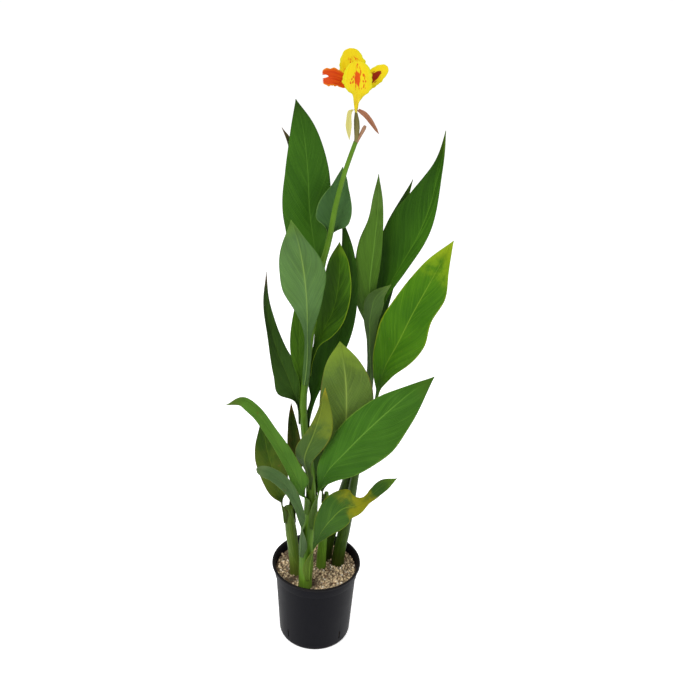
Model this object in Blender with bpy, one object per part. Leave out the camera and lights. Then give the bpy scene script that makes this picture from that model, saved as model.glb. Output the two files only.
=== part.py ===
"""Canna lily in a round nursery pot, with its soil, gravel, shoots, leaves and one open bloom.

Metres, Z up. The viewer stands on the -Y side. The origin is the centre of the pot's underside.
"""

import math
import random

import bmesh
import bpy
import numpy as np
from mathutils import Vector

# Pot
POT_HEIGHT = 0.2136
LIP_RADIUS = 0.1100
COLLAR_RADIUS = 0.1026
COLLAR_DEPTH = 0.0325
WALL_TOP_RADIUS = 0.0997
WALL_FOOT_RADIUS = 0.0895
FOOT_RADIUS = 0.0820
WALL = 0.0022
POT_SIDES = 40
SLIT_ANGLES = (45, 135, 225, 315)
SLIT_SIZE = (0.006, 0.0035, 0.024)
SLIT_CENTRE = 0.031

# Filling
CLEARANCE = 0.0004
SOIL_TOP = 0.1860
GRAVEL_TOP = 0.1945
GRAVEL_RADIUS = 0.0996
GRAVEL_RELIEF = 0.0026
GRAVEL_RINGS = 13
STEM_FOOT = 0.1660

# Leaves and petals
BLADE_THICKNESS = 0.0012
RIB_THICKNESS = 0.0026
RIB_WIDTH = 0.07
TIP_HALF_WIDTH = 0.0006
NECK_HALF_WIDTH = 0.0062
SHEATH_LENGTH = 0.035
SHEATH_WRAP = 0.85
SHEATH_GAP = 0.0011
COLUMNS = (-1.0, -0.55, -RIB_WIDTH, RIB_WIDTH, 0.55, 1.0)
LEAF_ROWS = 14
PETAL_ROWS = 9
SHOOT_SIDES = 10
END_ROWS = 9
HOLE_SIDES = 12
HOLE_DEPTH = 0.06


def clear_scene():
    for thing in list(bpy.data.objects):
        bpy.data.objects.remove(thing, do_unlink=True)


def make_material(name, color, roughness):
    material = bpy.data.materials.new(name)
    material.use_nodes = True
    shader = material.node_tree.nodes["Principled BSDF"]
    shader.inputs["Base Color"].default_value = (*color, 1.0)
    shader.inputs["Roughness"].default_value = roughness
    shader.inputs["Metallic"].default_value = 0.0
    return material


def add_mesh(name, points, faces, material, smooth=True):
    mesh = bpy.data.meshes.new(name)
    mesh.from_pydata([tuple(float(v) for v in p) for p in points], [], faces)
    work = bmesh.new()
    work.from_mesh(mesh)
    bmesh.ops.recalc_face_normals(work, faces=work.faces)
    work.to_mesh(mesh)
    work.free()
    if smooth:
        mesh.shade_smooth()
    if material:
        mesh.materials.append(material)
    thing = bpy.data.objects.new(name, mesh)
    bpy.context.scene.collection.objects.link(thing)
    return thing


def smooth_route(points, count):
    """Evenly spaced points along a rounded line through the given ones, first to last."""
    given = np.array(points, float)
    steps = np.linalg.norm(np.diff(given, axis=0), axis=1)[:, None]
    slopes = np.diff(given, axis=0) / steps
    inner = (slopes[:-1] * steps[1:] + slopes[1:] * steps[:-1]) / (steps[1:] + steps[:-1])
    slopes = np.vstack([slopes[:1], inner, slopes[-1:]])
    dense = []
    for i, step in enumerate(steps):
        t = np.linspace(0, 1, 24, endpoint=False)[:, None]
        ends = (2 * t**3 - 3 * t**2 + 1) * given[i] + (3 * t**2 - 2 * t**3) * given[i + 1]
        leans = (t**3 - 2 * t**2 + t) * slopes[i] + (t**3 - t**2) * slopes[i + 1]
        dense.append(ends + step * leans)
    dense = np.vstack([*dense, given[-1:]])
    length = np.concatenate([[0], np.cumsum(np.linalg.norm(np.diff(dense, axis=0), axis=1))])
    even = np.linspace(0, length[-1], count)
    return np.column_stack([np.interp(even, length, dense[:, k]) for k in range(3)])


def unit(vectors):
    vectors = np.asarray(vectors, float)
    return vectors / np.linalg.norm(vectors, axis=-1, keepdims=True)


def ease(value, start, end):
    """0 before start, 1 after end, and a soft step between."""
    t = np.clip((value - start) / (end - start), 0, 1)
    return t * t * (3 - 2 * t)


class Stem:
    """A round shoot: its route from the ground up, and its radius at each point of that route."""

    def __init__(self, route, radii, rows):
        self.line = smooth_route(route, rows)
        height = np.array(route, float)[:, 2]
        self.radii = np.interp(self.line[:, 2], height, radii)

    def at(self, height):
        centre = [np.interp(height, self.line[:, 2], self.line[:, k]) for k in range(3)]
        return np.array(centre), float(np.interp(height, self.line[:, 2], self.radii))


def tube_points(line, radii, sides):
    """Rings of points square to the line. The first point of each ring looks to +X."""
    along = unit(np.gradient(line, axis=0))
    across = unit(np.cross((0, 1, 0), along))
    back = np.cross(along, across)
    angle = 2 * np.pi * (np.arange(sides) + 0.5) / sides
    ring = across[:, None] * np.cos(angle)[None, :, None]
    ring = ring + back[:, None] * np.sin(angle)[None, :, None]
    return line[:, None] + ring * np.asarray(radii)[:, None, None]


def add_tube(name, line, radii, sides, material):
    points = tube_points(line, radii, sides)
    rows = len(line)
    faces = []
    for i in range(rows - 1):
        for j in range(sides):
            k = (j + 1) % sides
            faces.append((i * sides + j, i * sides + k, (i + 1) * sides + k, (i + 1) * sides + j))
    faces.append(tuple(range(sides)))
    faces.append(tuple((rows - 1) * sides + j for j in range(sides)))
    return add_mesh(name, points.reshape(-1, 3), faces, material)


def half_widths(values, place, blunt):
    """A blade's half width at each place along it, 0 at both ends. A blunt end is rounded off."""
    given = np.array([0.0, *values, values[-1] if blunt else 0.0])
    slopes = np.gradient(given)
    step = place * (len(given) - 1)
    i = np.minimum(step.astype(int), len(given) - 2)
    t = step - i
    width = (2 * t**3 - 3 * t**2 + 1) * given[i] + (3 * t**2 - 2 * t**3) * given[i + 1]
    width = width + (t**3 - 2 * t**2 + t) * slopes[i] + (t**3 - t**2) * slopes[i + 1]
    if blunt:
        width = width * np.sqrt(1 - np.clip((place - 1 + blunt) / blunt, 0, 1) ** 2)
    return np.maximum(width, 0)


def blade_grid(spec, rows, columns):
    """Middle surface of a leaf or petal, its outward direction and its depth below, row by row."""
    line = smooth_route(spec["route"], rows)
    t = np.linspace(0, 1, rows)
    along = unit(np.gradient(line, axis=0))
    faces = unit(spec["face"])
    place = np.linspace(0, 1, len(faces))
    if spec["hug"]:
        place = np.concatenate([[0, spec["hug"]], np.linspace(spec["start"] + 0.12, 1, len(faces) - 1)])
        faces = np.vstack([faces[:1], faces])
    face = unit(np.column_stack([np.interp(t, place, faces[:, k]) for k in range(3)]))
    across = unit(np.cross(along, face))
    up = np.cross(across, along)

    start = spec["start"]
    u = np.clip((t - start) / (1 - start), 0, 1)
    leave = 1 - ease(t, spec["hug"] * 0.7, max(start, spec["hug"] + 0.02))
    neck = spec["neck"] + (spec["sheath"] - spec["neck"]) * leave if spec["hug"] else spec["neck"]
    neck = neck * (1 - ease(t, start, 1)) + TIP_HALF_WIDTH
    opened = ease(t, spec["hug"], start + 0.12) if spec["hug"] else np.ones(rows)
    wave = spec["wave"] * np.sin(2 * np.pi * spec["waves"] * u + spec["phase"]) * opened * (1 - u**6)

    grid = np.empty((rows, len(columns), 3))
    for j, c in enumerate(columns):
        values = spec["halves"][0 if c < 0 else 1]
        half = max(values)
        width = np.hypot(neck, half_widths(values, u, spec["blunt"]))
        reach = abs(c) * width
        bend = (1 - opened) / spec["wrap_radius"] - opened * spec["arch"] / half
        bend = np.where(np.abs(bend) < 1e-4, 1e-4, bend)
        tilt = spec["fold"] * opened
        sideways = (np.sin(tilt + bend * reach) - np.sin(tilt)) / bend
        lift = (np.cos(tilt) - np.cos(tilt + bend * reach)) / bend
        lift = lift + wave * c * c * (1 if c > 0 else spec["match"])
        grid[:, j] = line + across * (sideways * np.sign(c))[:, None] + up * lift[:, None]

    down_rows = np.gradient(grid, axis=0)
    down_columns = np.gradient(grid, axis=1)
    normal = unit(np.cross(down_columns, down_rows))
    normal[-1] = up[-1]
    rib = np.clip(1.25 - np.abs(np.asarray(columns)) / (2.2 * RIB_WIDTH), 0, 1)
    fade = (1 - 0.8 * t) * spec["rib"]
    depth = BLADE_THICKNESS / 2 + fade[:, None] * rib[None, :]
    return grid, normal, depth, t


def add_blade(name, spec, material, rows=LEAF_ROWS, columns=COLUMNS):
    grid, normal, depth, _ = blade_grid(spec, rows, columns)
    upper = grid + normal * BLADE_THICKNESS / 2
    under = grid - normal * depth[:, :, None]
    count = len(columns)
    size = rows * count
    points = np.vstack([upper.reshape(-1, 3), under.reshape(-1, 3)])
    faces = []
    for i in range(rows - 1):
        for j in range(count - 1):
            a = i * count + j
            b, c, d = a + 1, a + count + 1, a + count
            faces.extend([(a, b, c), (a, c, d)])
            faces.extend([(a + size, c + size, b + size), (a + size, d + size, c + size)])
        for a in (i * count, i * count + count - 1):
            faces.append((a, a + count, a + count + size, a + size))
    for first in (0, (rows - 1) * count):
        for j in range(count - 1):
            a = first + j
            faces.append((a, a + 1, a + 1 + size, a + size))
    return add_mesh(name, points, faces, material)


def blade(route, halves, face, **more):
    """Everything that shapes a blade. Halves are its half widths each side of the rib, foot to tip, in mm."""
    spec = dict(
        route=route, halves=[np.array(side) / 1000 for side in halves], face=face, start=0.0, blunt=0.0,
        fold=0.25, arch=0.2, wave=0.0, waves=2.0, phase=0.0, match=1, neck=NECK_HALF_WIDTH, sheath=0.0,
        hug=0.0, wrap_radius=1.0, rib=RIB_THICKNESS,
    )
    spec.update(more)
    return spec


def leaf(
    stem, height, side, route, halves, face, start=0.2, sheath_length=SHEATH_LENGTH, gap=SHEATH_GAP, **more
):
    """A leaf whose sheath lies against a shoot. Side is the way it looks out, 270 to the viewer."""
    out = np.array((math.cos(math.radians(side)), math.sin(math.radians(side)), 0.0))
    low, low_radius = stem.at(height)
    high, high_radius = stem.at(height + sheath_length)
    radius = 1.02 * max(low_radius, high_radius) + gap
    full_route = [low + out * radius, high + out * radius, *route]
    total = smooth_route(full_route, 60)
    length = np.linalg.norm(np.diff(total, axis=0), axis=1).sum()
    return blade(
        full_route, halves, [-out, *face], start=start, hug=sheath_length / length,
        wrap_radius=radius, sheath=radius * SHEATH_WRAP, **more,
    )


# Shoots, from the ground up

FLOWERING = Stem(
    [
        (-0.024, -0.070, STEM_FOOT), (-0.024, -0.070, 0.200), (-0.023, -0.066, 0.315),
        (-0.015, -0.060, 0.443), (-0.021, -0.055, 0.537), (-0.034, -0.048, 0.630),
        (-0.038, -0.042, 0.712), (-0.033, -0.038, 0.765), (-0.025, -0.032, 0.858),
        (-0.014, -0.028, 0.942), (-0.003, -0.024, 1.029), (0.008, -0.022, 1.075),
        (0.018, -0.020, 1.143), (0.038, -0.020, 1.232), (0.055, -0.020, 1.2865),
    ],
    [
        0.0165, 0.0165, 0.0170, 0.0128, 0.0112, 0.0095, 0.0088, 0.0092, 0.0078, 0.0072,
        0.0066, 0.0062, 0.0058, 0.0050, 0.0048,
    ],
    40,
)
LEFT = Stem(
    [
        (-0.050, -0.020, STEM_FOOT), (-0.050, -0.020, 0.200), (-0.061, -0.022, 0.306),
        (-0.070, -0.022, 0.390),
    ],
    [0.0158, 0.0158, 0.0145, 0.0115],
    12,
)
RIGHT = Stem(
    [
        (0.054, 0.020, STEM_FOOT), (0.054, 0.020, 0.200), (0.067, 0.020, 0.296),
        (0.079, 0.020, 0.388), (0.089, 0.020, 0.476), (0.111, 0.016, 0.607), (0.119, 0.014, 0.664),
    ],
    [0.0160, 0.0160, 0.0150, 0.0125, 0.0100, 0.0070, 0.0055],
    18,
)
BACK = Stem(
    [
        (0.024, 0.040, STEM_FOOT), (0.024, 0.040, 0.200), (0.044, 0.044, 0.318),
        (0.071, 0.046, 0.435), (0.096, 0.046, 0.580), (0.109, 0.044, 0.705), (0.108, 0.044, 0.800),
    ],
    [0.0155, 0.0155, 0.0145, 0.0125, 0.0095, 0.0075, 0.0060],
    18,
)
MIDDLE = Stem(
    [
        (0.012, 0.005, STEM_FOOT), (0.012, 0.005, 0.200), (0.016, 0.006, 0.300),
        (0.020, 0.002, 0.395), (0.020, -0.001, 0.422),
    ],
    [0.0125, 0.0125, 0.0110, 0.0080, 0.0055],
    12,
)
SHOOTS = {
    "flowering_shoot": FLOWERING,
    "left_shoot": LEFT,
    "right_shoot": RIGHT,
    "back_shoot": BACK,
    "middle_shoot": MIDDLE,
}

# Leaves, from the top down

LEAVES = {
    "stalk_leaf": leaf(
        FLOWERING, 1.060, 100,
        [(0.014, 0.004, 1.114), (0.022, 0.011, 1.153), (0.031, 0.016, 1.223)],
        [(32, 38, 37, 30, 18, 9), (30, 36, 34, 27, 19, 12)], [(0.1, -1, 0.2), (0.0, -1, 0.3)],
        start=0.17, sheath_length=0.02, fold=0.3,
    ),
    "tall_left_leaf": leaf(
        FLOWERING, 0.965, 105,
        [(-0.022, 0.012, 1.045), (-0.034, 0.024, 1.114), (-0.041, 0.034, 1.208), (-0.052, 0.042, 1.289),
         (-0.068, 0.045, 1.351)],
        [(48, 56, 56, 49, 38, 23), (28, 42, 46, 44, 36, 22)], [(0.15, -1, 0.2), (0.1, -1, 0.2)],
        start=0.12, sheath_length=0.03, fold=0.2, wave=0.003,
    ),
    "curled_back_leaf": leaf(
        FLOWERING, 0.905, 140,
        [(-0.040, 0.030, 1.040), (-0.055, 0.062, 1.160), (-0.078, 0.075, 1.250), (-0.097, 0.070, 1.285)],
        [(12, 22, 26, 24, 16, 8), (12, 20, 24, 22, 14, 7)], [(0.4, -1, 0.2), (0.3, -1, 0.3)],
        start=0.3, sheath_length=0.025,
    ),
    "light_front_leaf": leaf(
        FLOWERING, 0.745, 265,
        [(-0.031, -0.075, 0.894), (-0.035, -0.090, 0.993), (-0.043, -0.098, 1.058),
         (-0.054, -0.100, 1.110), (-0.067, -0.100, 1.148)],
        [(14, 26, 36, 44, 35, 15), (13, 30, 49, 53, 48, 31)], [(0.1, 1, 0.15), (0.2, 1, 0.1)],
        start=0.30, fold=0.15, wave=0.003,
    ),
    "bright_edged_leaf": leaf(
        FLOWERING, 0.760, 35,
        [(0.005, -0.006, 0.868), (0.021, 0.000, 0.905), (0.031, 0.006, 0.964), (0.030, 0.008, 1.062)],
        [(15, 27, 32, 33, 30, 21), (23, 33, 35, 33, 29, 20)], [(-0.5, -1, 0.1), (-0.3, -1, 0.2)],
        start=0.2, fold=0.3, wave=0.002, waves=3, gap=0.0014,
    ),
    "inner_right_leaf": leaf(
        FLOWERING, 0.600, 40,
        [(-0.006, 0.000, 0.720), (0.036, 0.022, 0.836), (0.051, 0.032, 0.954), (0.047, 0.034, 1.040),
         (0.034, 0.034, 1.105)],
        [(36, 36, 29, 26, 21, 12), (14, 24, 28, 26, 21, 12)], [(-0.3, -1, 0.2), (-0.1, -1, 0.2)], start=0.17,
    ),
    "left_strip_leaf": leaf(
        FLOWERING, 0.700, 150, [(-0.051, -0.018, 0.815), (-0.050, -0.002, 0.900), (-0.044, 0.006, 0.990)],
        [(12, 19, 20, 17, 12, 6), (12, 19, 20, 17, 12, 6)], [(0.3, -1, 0.1), (0.1, -1, 0.2)],
        start=0.15, gap=0.0015,
    ),
    "dark_left_leaf": leaf(
        FLOWERING, 0.640, 165,
        [(-0.067, -0.020, 0.727), (-0.100, -0.008, 0.808), (-0.123, 0.000, 0.896), (-0.124, 0.000, 0.991)],
        [(36, 30, 20, 13, 10, 7), (26, 27, 21, 16, 12, 6)], [(0.3, -1, 0.1), (0.8, -0.6, 0.1)],
        start=0.11, fold=0.3, wave=0.002,
    ),
    "upright_right_leaf": leaf(
        BACK, 0.735, 270,
        [(0.101, 0.030, 0.886), (0.099, 0.028, 0.957), (0.105, 0.036, 1.058), (0.108, 0.040, 1.135),
         (0.106, 0.040, 1.203)],
        [(9, 14, 18, 17, 14, 9), (26, 33, 37, 34, 19, 12)], [(0.1, 1, 0.0), (0.0, 1, 0.0)],
        start=0.24, fold=0.25, wave=0.002,
    ),
    "high_right_leaf": leaf(
        BACK, 0.660, 60,
        [(0.131, 0.060, 0.914), (0.165, 0.070, 0.984), (0.198, 0.076, 1.051), (0.221, 0.082, 1.120),
         (0.233, 0.086, 1.191), (0.240, 0.088, 1.244), (0.242, 0.088, 1.286)],
        [(13, 34, 66, 72, 48, 14), (5, 12, 20, 23, 14, 8)], [(-0.5, -1, 0.3), (-0.4, -1, 0.3)],
        start=0.22, fold=0.3, wave=0.003, waves=2.5,
    ),
    "behind_right_leaf": leaf(
        BACK, 0.590, 95,
        [(0.116, 0.085, 0.760), (0.130, 0.118, 0.930), (0.152, 0.130, 1.060), (0.184, 0.130, 1.165)],
        [(12, 24, 30, 27, 20, 10), (12, 24, 30, 27, 20, 10)], [(-0.2, -1, 0.2), (-0.2, -1, 0.3)], start=0.3,
    ),
    "rolled_leaf": leaf(
        BACK, 0.640, 300,
        [(0.106, 0.018, 0.820), (0.104, 0.011, 0.895), (0.115, 0.006, 0.943), (0.144, 0.004, 0.970)],
        [(5, 8, 14, 20, 23, 16), (5, 8, 14, 19, 22, 10)], [(0.3, 1, 0.2), (0.5, 1, 0.2)],
        start=0.35, fold=0.4,
    ),
    "yellow_tipped_leaf": leaf(
        RIGHT, 0.630, 10,
        [(0.143, -0.006, 0.779), (0.164, -0.010, 0.832), (0.190, -0.012, 0.902), (0.225, -0.010, 0.983),
         (0.268, -0.004, 1.079)],
        [(20, 44, 55, 50, 42, 27), (20, 45, 56, 45, 46, 23)], [(-0.3, -1, 0.2), (-0.3, -1, 0.3)],
        start=0.14, fold=0.2, wave=0.004, waves=2.5,
    ),
    "centre_leaf": leaf(
        FLOWERING, 0.430, 50,
        [(0.033, -0.062, 0.564), (0.057, -0.072, 0.659), (0.057, -0.080, 0.741), (0.050, -0.085, 0.811),
         (0.038, -0.086, 0.875)],
        [(20, 32, 46, 57, 58, 50, 31), (28, 43, 55, 61, 58, 50, 34)], [(0.1, 1, 0.1), (0.1, 1, 0.1)],
        start=0.24, fold=0.15, wave=0.004,
    ),
    "twisted_leaf": leaf(
        FLOWERING, 0.480, 255,
        [(-0.030, -0.100, 0.589), (-0.011, -0.114, 0.662), (0.003, -0.122, 0.725), (0.011, -0.124, 0.783)],
        [(12, 24, 34, 38, 30, 15), (20, 26, 21, 14, 9, 5)], [(0.4, 1, 0.2), (0.0, 1, 0.2)],
        start=0.15, fold=0.3,
    ),
    "wide_right_leaf": leaf(
        FLOWERING, 0.370, 310,
        [(0.022, -0.102, 0.555), (0.059, -0.112, 0.613), (0.100, -0.120, 0.672), (0.151, -0.123, 0.734),
         (0.197, -0.120, 0.781), (0.241, -0.112, 0.813)],
        [(24, 42, 49, 46, 36, 16), (26, 52, 66, 71, 57, 35)], [(-0.5, -1, 0.5), (-0.3, -1, 0.4)],
        start=0.24, neck=0.009, fold=0.15, wave=0.003,
    ),
    "arching_left_leaf": leaf(
        FLOWERING, 0.410, 222,
        [(-0.037, -0.101, 0.505), (-0.063, -0.110, 0.575), (-0.103, -0.112, 0.655), (-0.140, -0.106, 0.713),
         (-0.165, -0.096, 0.727), (-0.205, -0.088, 0.710)],
        [(13, 11, 12, 12, 15, 15), (20, 18, 17, 14, 11, 9)], [(0.3, -1, 0.5), (-0.1, -1, 0.6)],
        start=0.16, neck=0.011,
    ),
    "hanging_left_leaf": leaf(
        LEFT, 0.350, 215, [(-0.098, -0.045, 0.481), (-0.118, -0.052, 0.571), (-0.130, -0.054, 0.664)],
        [(20, 29, 32, 32, 25, 12), (20, 29, 34, 32, 24, 12)], [(0.2, -1, 0.3), (0.1, -1, 0.3)],
        start=0.2, fold=0.2, wave=0.003,
    ),
    "small_blue_leaf": leaf(
        FLOWERING, 0.290, 225,
        [(-0.043, -0.112, 0.460), (-0.072, -0.124, 0.529), (-0.105, -0.132, 0.565), (-0.136, -0.132, 0.575)],
        [(5, 7, 10, 13, 15, 15), (5, 8, 12, 14, 15, 13)], [(0.2, -1, 0.6), (0.1, -1, 0.6)],
        start=0.33, blunt=0.12, neck=0.008, fold=0.35,
    ),
    "brown_edged_leaf": leaf(
        LEFT, 0.340, 50, [(-0.057, -0.006, 0.520), (-0.062, -0.012, 0.600), (-0.067, -0.012, 0.676)],
        [(11, 17, 19, 17, 14, 9), (11, 17, 20, 18, 14, 8)], [(0.3, -1, 0.1), (0.1, -1, 0.1)], start=0.25,
        fold=0.5, wave=0.002, waves=3, sheath_length=0.025,
    ),
    "inner_front_leaf": leaf(
        MIDDLE, 0.392, 200, [(0.003, -0.010, 0.535), (0.009, -0.012, 0.610)],
        [(16, 24, 26, 24, 18, 10), (16, 24, 26, 22, 17, 9)], [(0.4, -1, 0.1), (0.1, -1, 0.1)],
        start=0.15, sheath_length=0.025, gap=0.0016,
    ),
    "low_right_leaf": leaf(
        FLOWERING, 0.222, 300,
        [(0.007, -0.100, 0.370), (0.033, -0.108, 0.424), (0.063, -0.110, 0.460), (0.090, -0.108, 0.467),
         (0.118, -0.106, 0.492), (0.146, -0.105, 0.522), (0.178, -0.104, 0.543)],
        [(15, 28, 38, 43, 38, 9, 12, 13), (13, 24, 33, 34, 24, 13, 14, 13)],
        [(-0.3, -1, 0.4), (0.0, -1, 0.5)],
        start=0.3, fold=0.1,
    ),
}

# Ovary and spent flower: their routes from the stalk's tip, and their radii at shares of the way

STALK_ENDS = {
    "ovary": (
        [(-0.006, 0, -0.018), (0, 0, 0), (0.001, 0, 0.0255), (-0.0018, 0, 0.0581)],
        [0, 0.3, 0.6, 0.8, 1], [0.0030, 0.0042, 0.0062, 0.0058, 0.0028],
    ),
    "spent_flower": (
        [(-0.006, 0, -0.018), (0.004, 0, 0.004), (0.011, 0, 0.0185), (0.0175, 0, 0.0325)],
        [0, 0.6, 0.9, 1], [0.0030, 0.0034, 0.0042, 0.0030],
    ),
}

# Bloom

BLOOM_BASE = (0.053, -0.020, 1.345)
FLORAL_TUBE = [(0, 0, 0), (0, 0, 0.010), (-0.0005, -0.001, 0.022), (-0.001, -0.002, 0.032)]
FLORAL_TUBE_RADII = [0.0026, 0.0042, 0.0055, 0.0050]
PETALS = {
    "top": blade(
        [(0.052, -0.020, 1.366), (0.047, -0.012, 1.406), (0.036, 0.000, 1.463)],
        [(4, 10, 18, 25, 26, 21), (4, 10, 18, 25, 27, 22)], [(0, -1, 0.2), (0, -1, 0.3)], blunt=0.2,
        neck=0.004, rib=0.0004, fold=0.1, wave=0.0015, waves=3,
    ),
    "lip": blade(
        [(0.053, -0.024, 1.362), (0.054, -0.046, 1.395), (0.049, -0.056, 1.450)],
        [(5, 10, 21, 29, 29, 23), (5, 15, 26, 30, 29, 26)], [(0, -1, 0.3), (0, -1, 0.5)], blunt=0.2,
        neck=0.004, rib=0.0004, fold=0.15, wave=0.002, waves=3,
    ),
    "right": blade(
        [(0.054, -0.020, 1.366), (0.077, -0.014, 1.405), (0.110, -0.014, 1.434)],
        [(4, 9, 14, 16, 16, 14), (4, 9, 14, 17, 17, 14)], [(0, -1, 0.3), (0.2, -1, 0.4)], blunt=0.22,
        neck=0.004, rib=0.0004, fold=0.1, wave=0.0015, waves=3,
    ),
}
ORANGE_PETAL = blade(
    [(0.0510, -0.0250, 1.3806), (0.030, -0.031, 1.404), (0.010, -0.034, 1.414), (-0.016, -0.036, 1.413)],
    [(3, 8, 13, 16, 18, 18), (3, 8, 13, 16, 18, 18)],
    [(0, -1, 0.3), (0, -1, 0.4)], blunt=0.14, neck=0.003, rib=0.0004, fold=0.2,
)
SEPALS = {
    "red_sepal": blade(
        [(0.0572, -0.0215, 1.350), (0.069, -0.032, 1.345), (0.099, -0.038, 1.309)],
        [(4, 5, 5, 5, 4, 3), (4, 5, 5, 5, 4, 3)], [(0.5, -1, 0.6), (0.6, -1, 0.5)],
        neck=0.003, rib=0.0004, fold=0.3,
    ),
    "pale_sepal": blade(
        [(0.0478, -0.0215, 1.350), (0.042, -0.032, 1.349), (0.040, -0.037, 1.327), (0.042, -0.037, 1.295)],
        [(3, 4, 5, 6, 5, 3), (3, 4, 5, 6, 5, 3)],
        [(-0.3, -0.2, 1), (-0.3, -1, 0.3), (-0.2, -1, 0.1)], neck=0.003, rib=0.0004, fold=0.3,
    ),
}


def join_solids(name, things, material):
    """One body from overlapping solids."""
    first, *others = things
    group = bpy.data.collections.new(name + "_parts")
    bpy.context.scene.collection.children.link(group)
    for thing in others:
        bpy.context.scene.collection.objects.unlink(thing)
        group.objects.link(thing)
    union = first.modifiers.new("Join", "BOOLEAN")
    union.operation = "UNION"
    union.operand_type = "COLLECTION"
    union.collection = group
    union.solver = "MANIFOLD"
    apply_modifiers(first)
    for thing in others:
        bpy.data.objects.remove(thing, do_unlink=True)
    bpy.data.collections.remove(group)
    first.name = name
    first.data.materials.clear()
    first.data.materials.append(material)
    return first


def apply_modifiers(thing):
    bpy.ops.object.select_all(action="DESELECT")
    bpy.context.view_layer.objects.active = thing
    thing.select_set(True)
    for modifier in list(thing.modifiers):
        bpy.ops.object.modifier_apply(modifier=modifier.name)


def cut(thing, cutters):
    for cutter in cutters:
        hollow = thing.modifiers.new("Hole", "BOOLEAN")
        hollow.operation = "DIFFERENCE"
        hollow.object = cutter
        hollow.solver = "EXACT"
    bpy.context.view_layer.update()
    apply_modifiers(thing)
    for cutter in cutters:
        bpy.data.objects.remove(cutter, do_unlink=True)


def revolve(name, profile, sides, material, smooth=True):
    """A body turned about the Z axis. The profile starts and ends on the axis."""
    points = [(0, 0, profile[0][1])]
    rings = profile[1:-1]
    for radius, height in rings:
        for j in range(sides):
            angle = 2 * math.pi * j / sides
            points.append((radius * math.cos(angle), radius * math.sin(angle), height))
    points.append((0, 0, profile[-1][1]))
    last = len(points) - 1
    faces = []
    for j in range(sides):
        k = (j + 1) % sides
        faces.append((0, 1 + k, 1 + j))
        for i in range(len(rings) - 1):
            a = 1 + i * sides
            faces.append((a + j, a + k, a + sides + k, a + sides + j))
        top = 1 + (len(rings) - 1) * sides
        faces.append((top + j, top + k, last))
    return add_mesh(name, points, faces, material, smooth)


def add_box(name, size, centre, turn):
    """A cutting block, turned about Z."""
    work = bmesh.new()
    bmesh.ops.create_cube(work, size=1.0)
    mesh = bpy.data.meshes.new(name)
    work.to_mesh(mesh)
    work.free()
    box = bpy.data.objects.new(name, mesh)
    box.scale = size
    box.rotation_euler = (0, 0, turn)
    box.location = centre
    box.hide_render = True
    box.display_type = "WIRE"
    bpy.context.scene.collection.objects.link(box)
    return box


def stem_cutters():
    """The foot of each shoot, widened a little, that leaves its plain hole."""
    cutters = []
    for name, shoot in SHOOTS.items():
        foot, radius = shoot.at(STEM_FOOT)
        line = np.array([foot + (0, 0, step) for step in (-CLEARANCE, HOLE_DEPTH / 2, HOLE_DEPTH)])
        hole = add_tube(name + "_hole", line, [radius + 2 * CLEARANCE] * 3, HOLE_SIDES, None)
        hole.hide_render = True
        hole.display_type = "WIRE"
        cutters.append(hole)
    return cutters


def build_pot(plastic):
    top = POT_HEIGHT
    band = top - COLLAR_DEPTH
    profile = [
        (0, 0), (FOOT_RADIUS, 0), (FOOT_RADIUS + 0.005, 0.0018), (WALL_FOOT_RADIUS, 0.0085),
        (WALL_TOP_RADIUS, band - 0.0018), (COLLAR_RADIUS, band), (COLLAR_RADIUS + 0.0006, top - 0.0092),
        (LIP_RADIUS - 0.0026, top - 0.0074), (LIP_RADIUS - 0.0002, top - 0.0050),
        (LIP_RADIUS - 0.0004, top - 0.0018), (LIP_RADIUS - 0.0022, top), (LIP_RADIUS - 0.0050, top - 0.0004),
        (LIP_RADIUS - 0.0068, top - 0.0022), (COLLAR_RADIUS + 0.0006 - WALL, top - 0.0092),
        (COLLAR_RADIUS - WALL, band + 0.0005), (WALL_TOP_RADIUS - WALL, band - 0.0018),
        (WALL_FOOT_RADIUS - WALL, 0.0090), (FOOT_RADIUS + 0.0025, 0.0036), (FOOT_RADIUS - 0.004, WALL),
        (0, WALL),
    ]
    pot = revolve("pot", profile, POT_SIDES, plastic)
    cutters = []
    for angle in SLIT_ANGLES:
        turn = math.radians(angle)
        radius = WALL_FOOT_RADIUS + 0.0004
        centre = (radius * math.cos(turn), radius * math.sin(turn), SLIT_CENTRE)
        cutters.append(add_box("slit", SLIT_SIZE, centre, turn))
    cut(pot, cutters)


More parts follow.
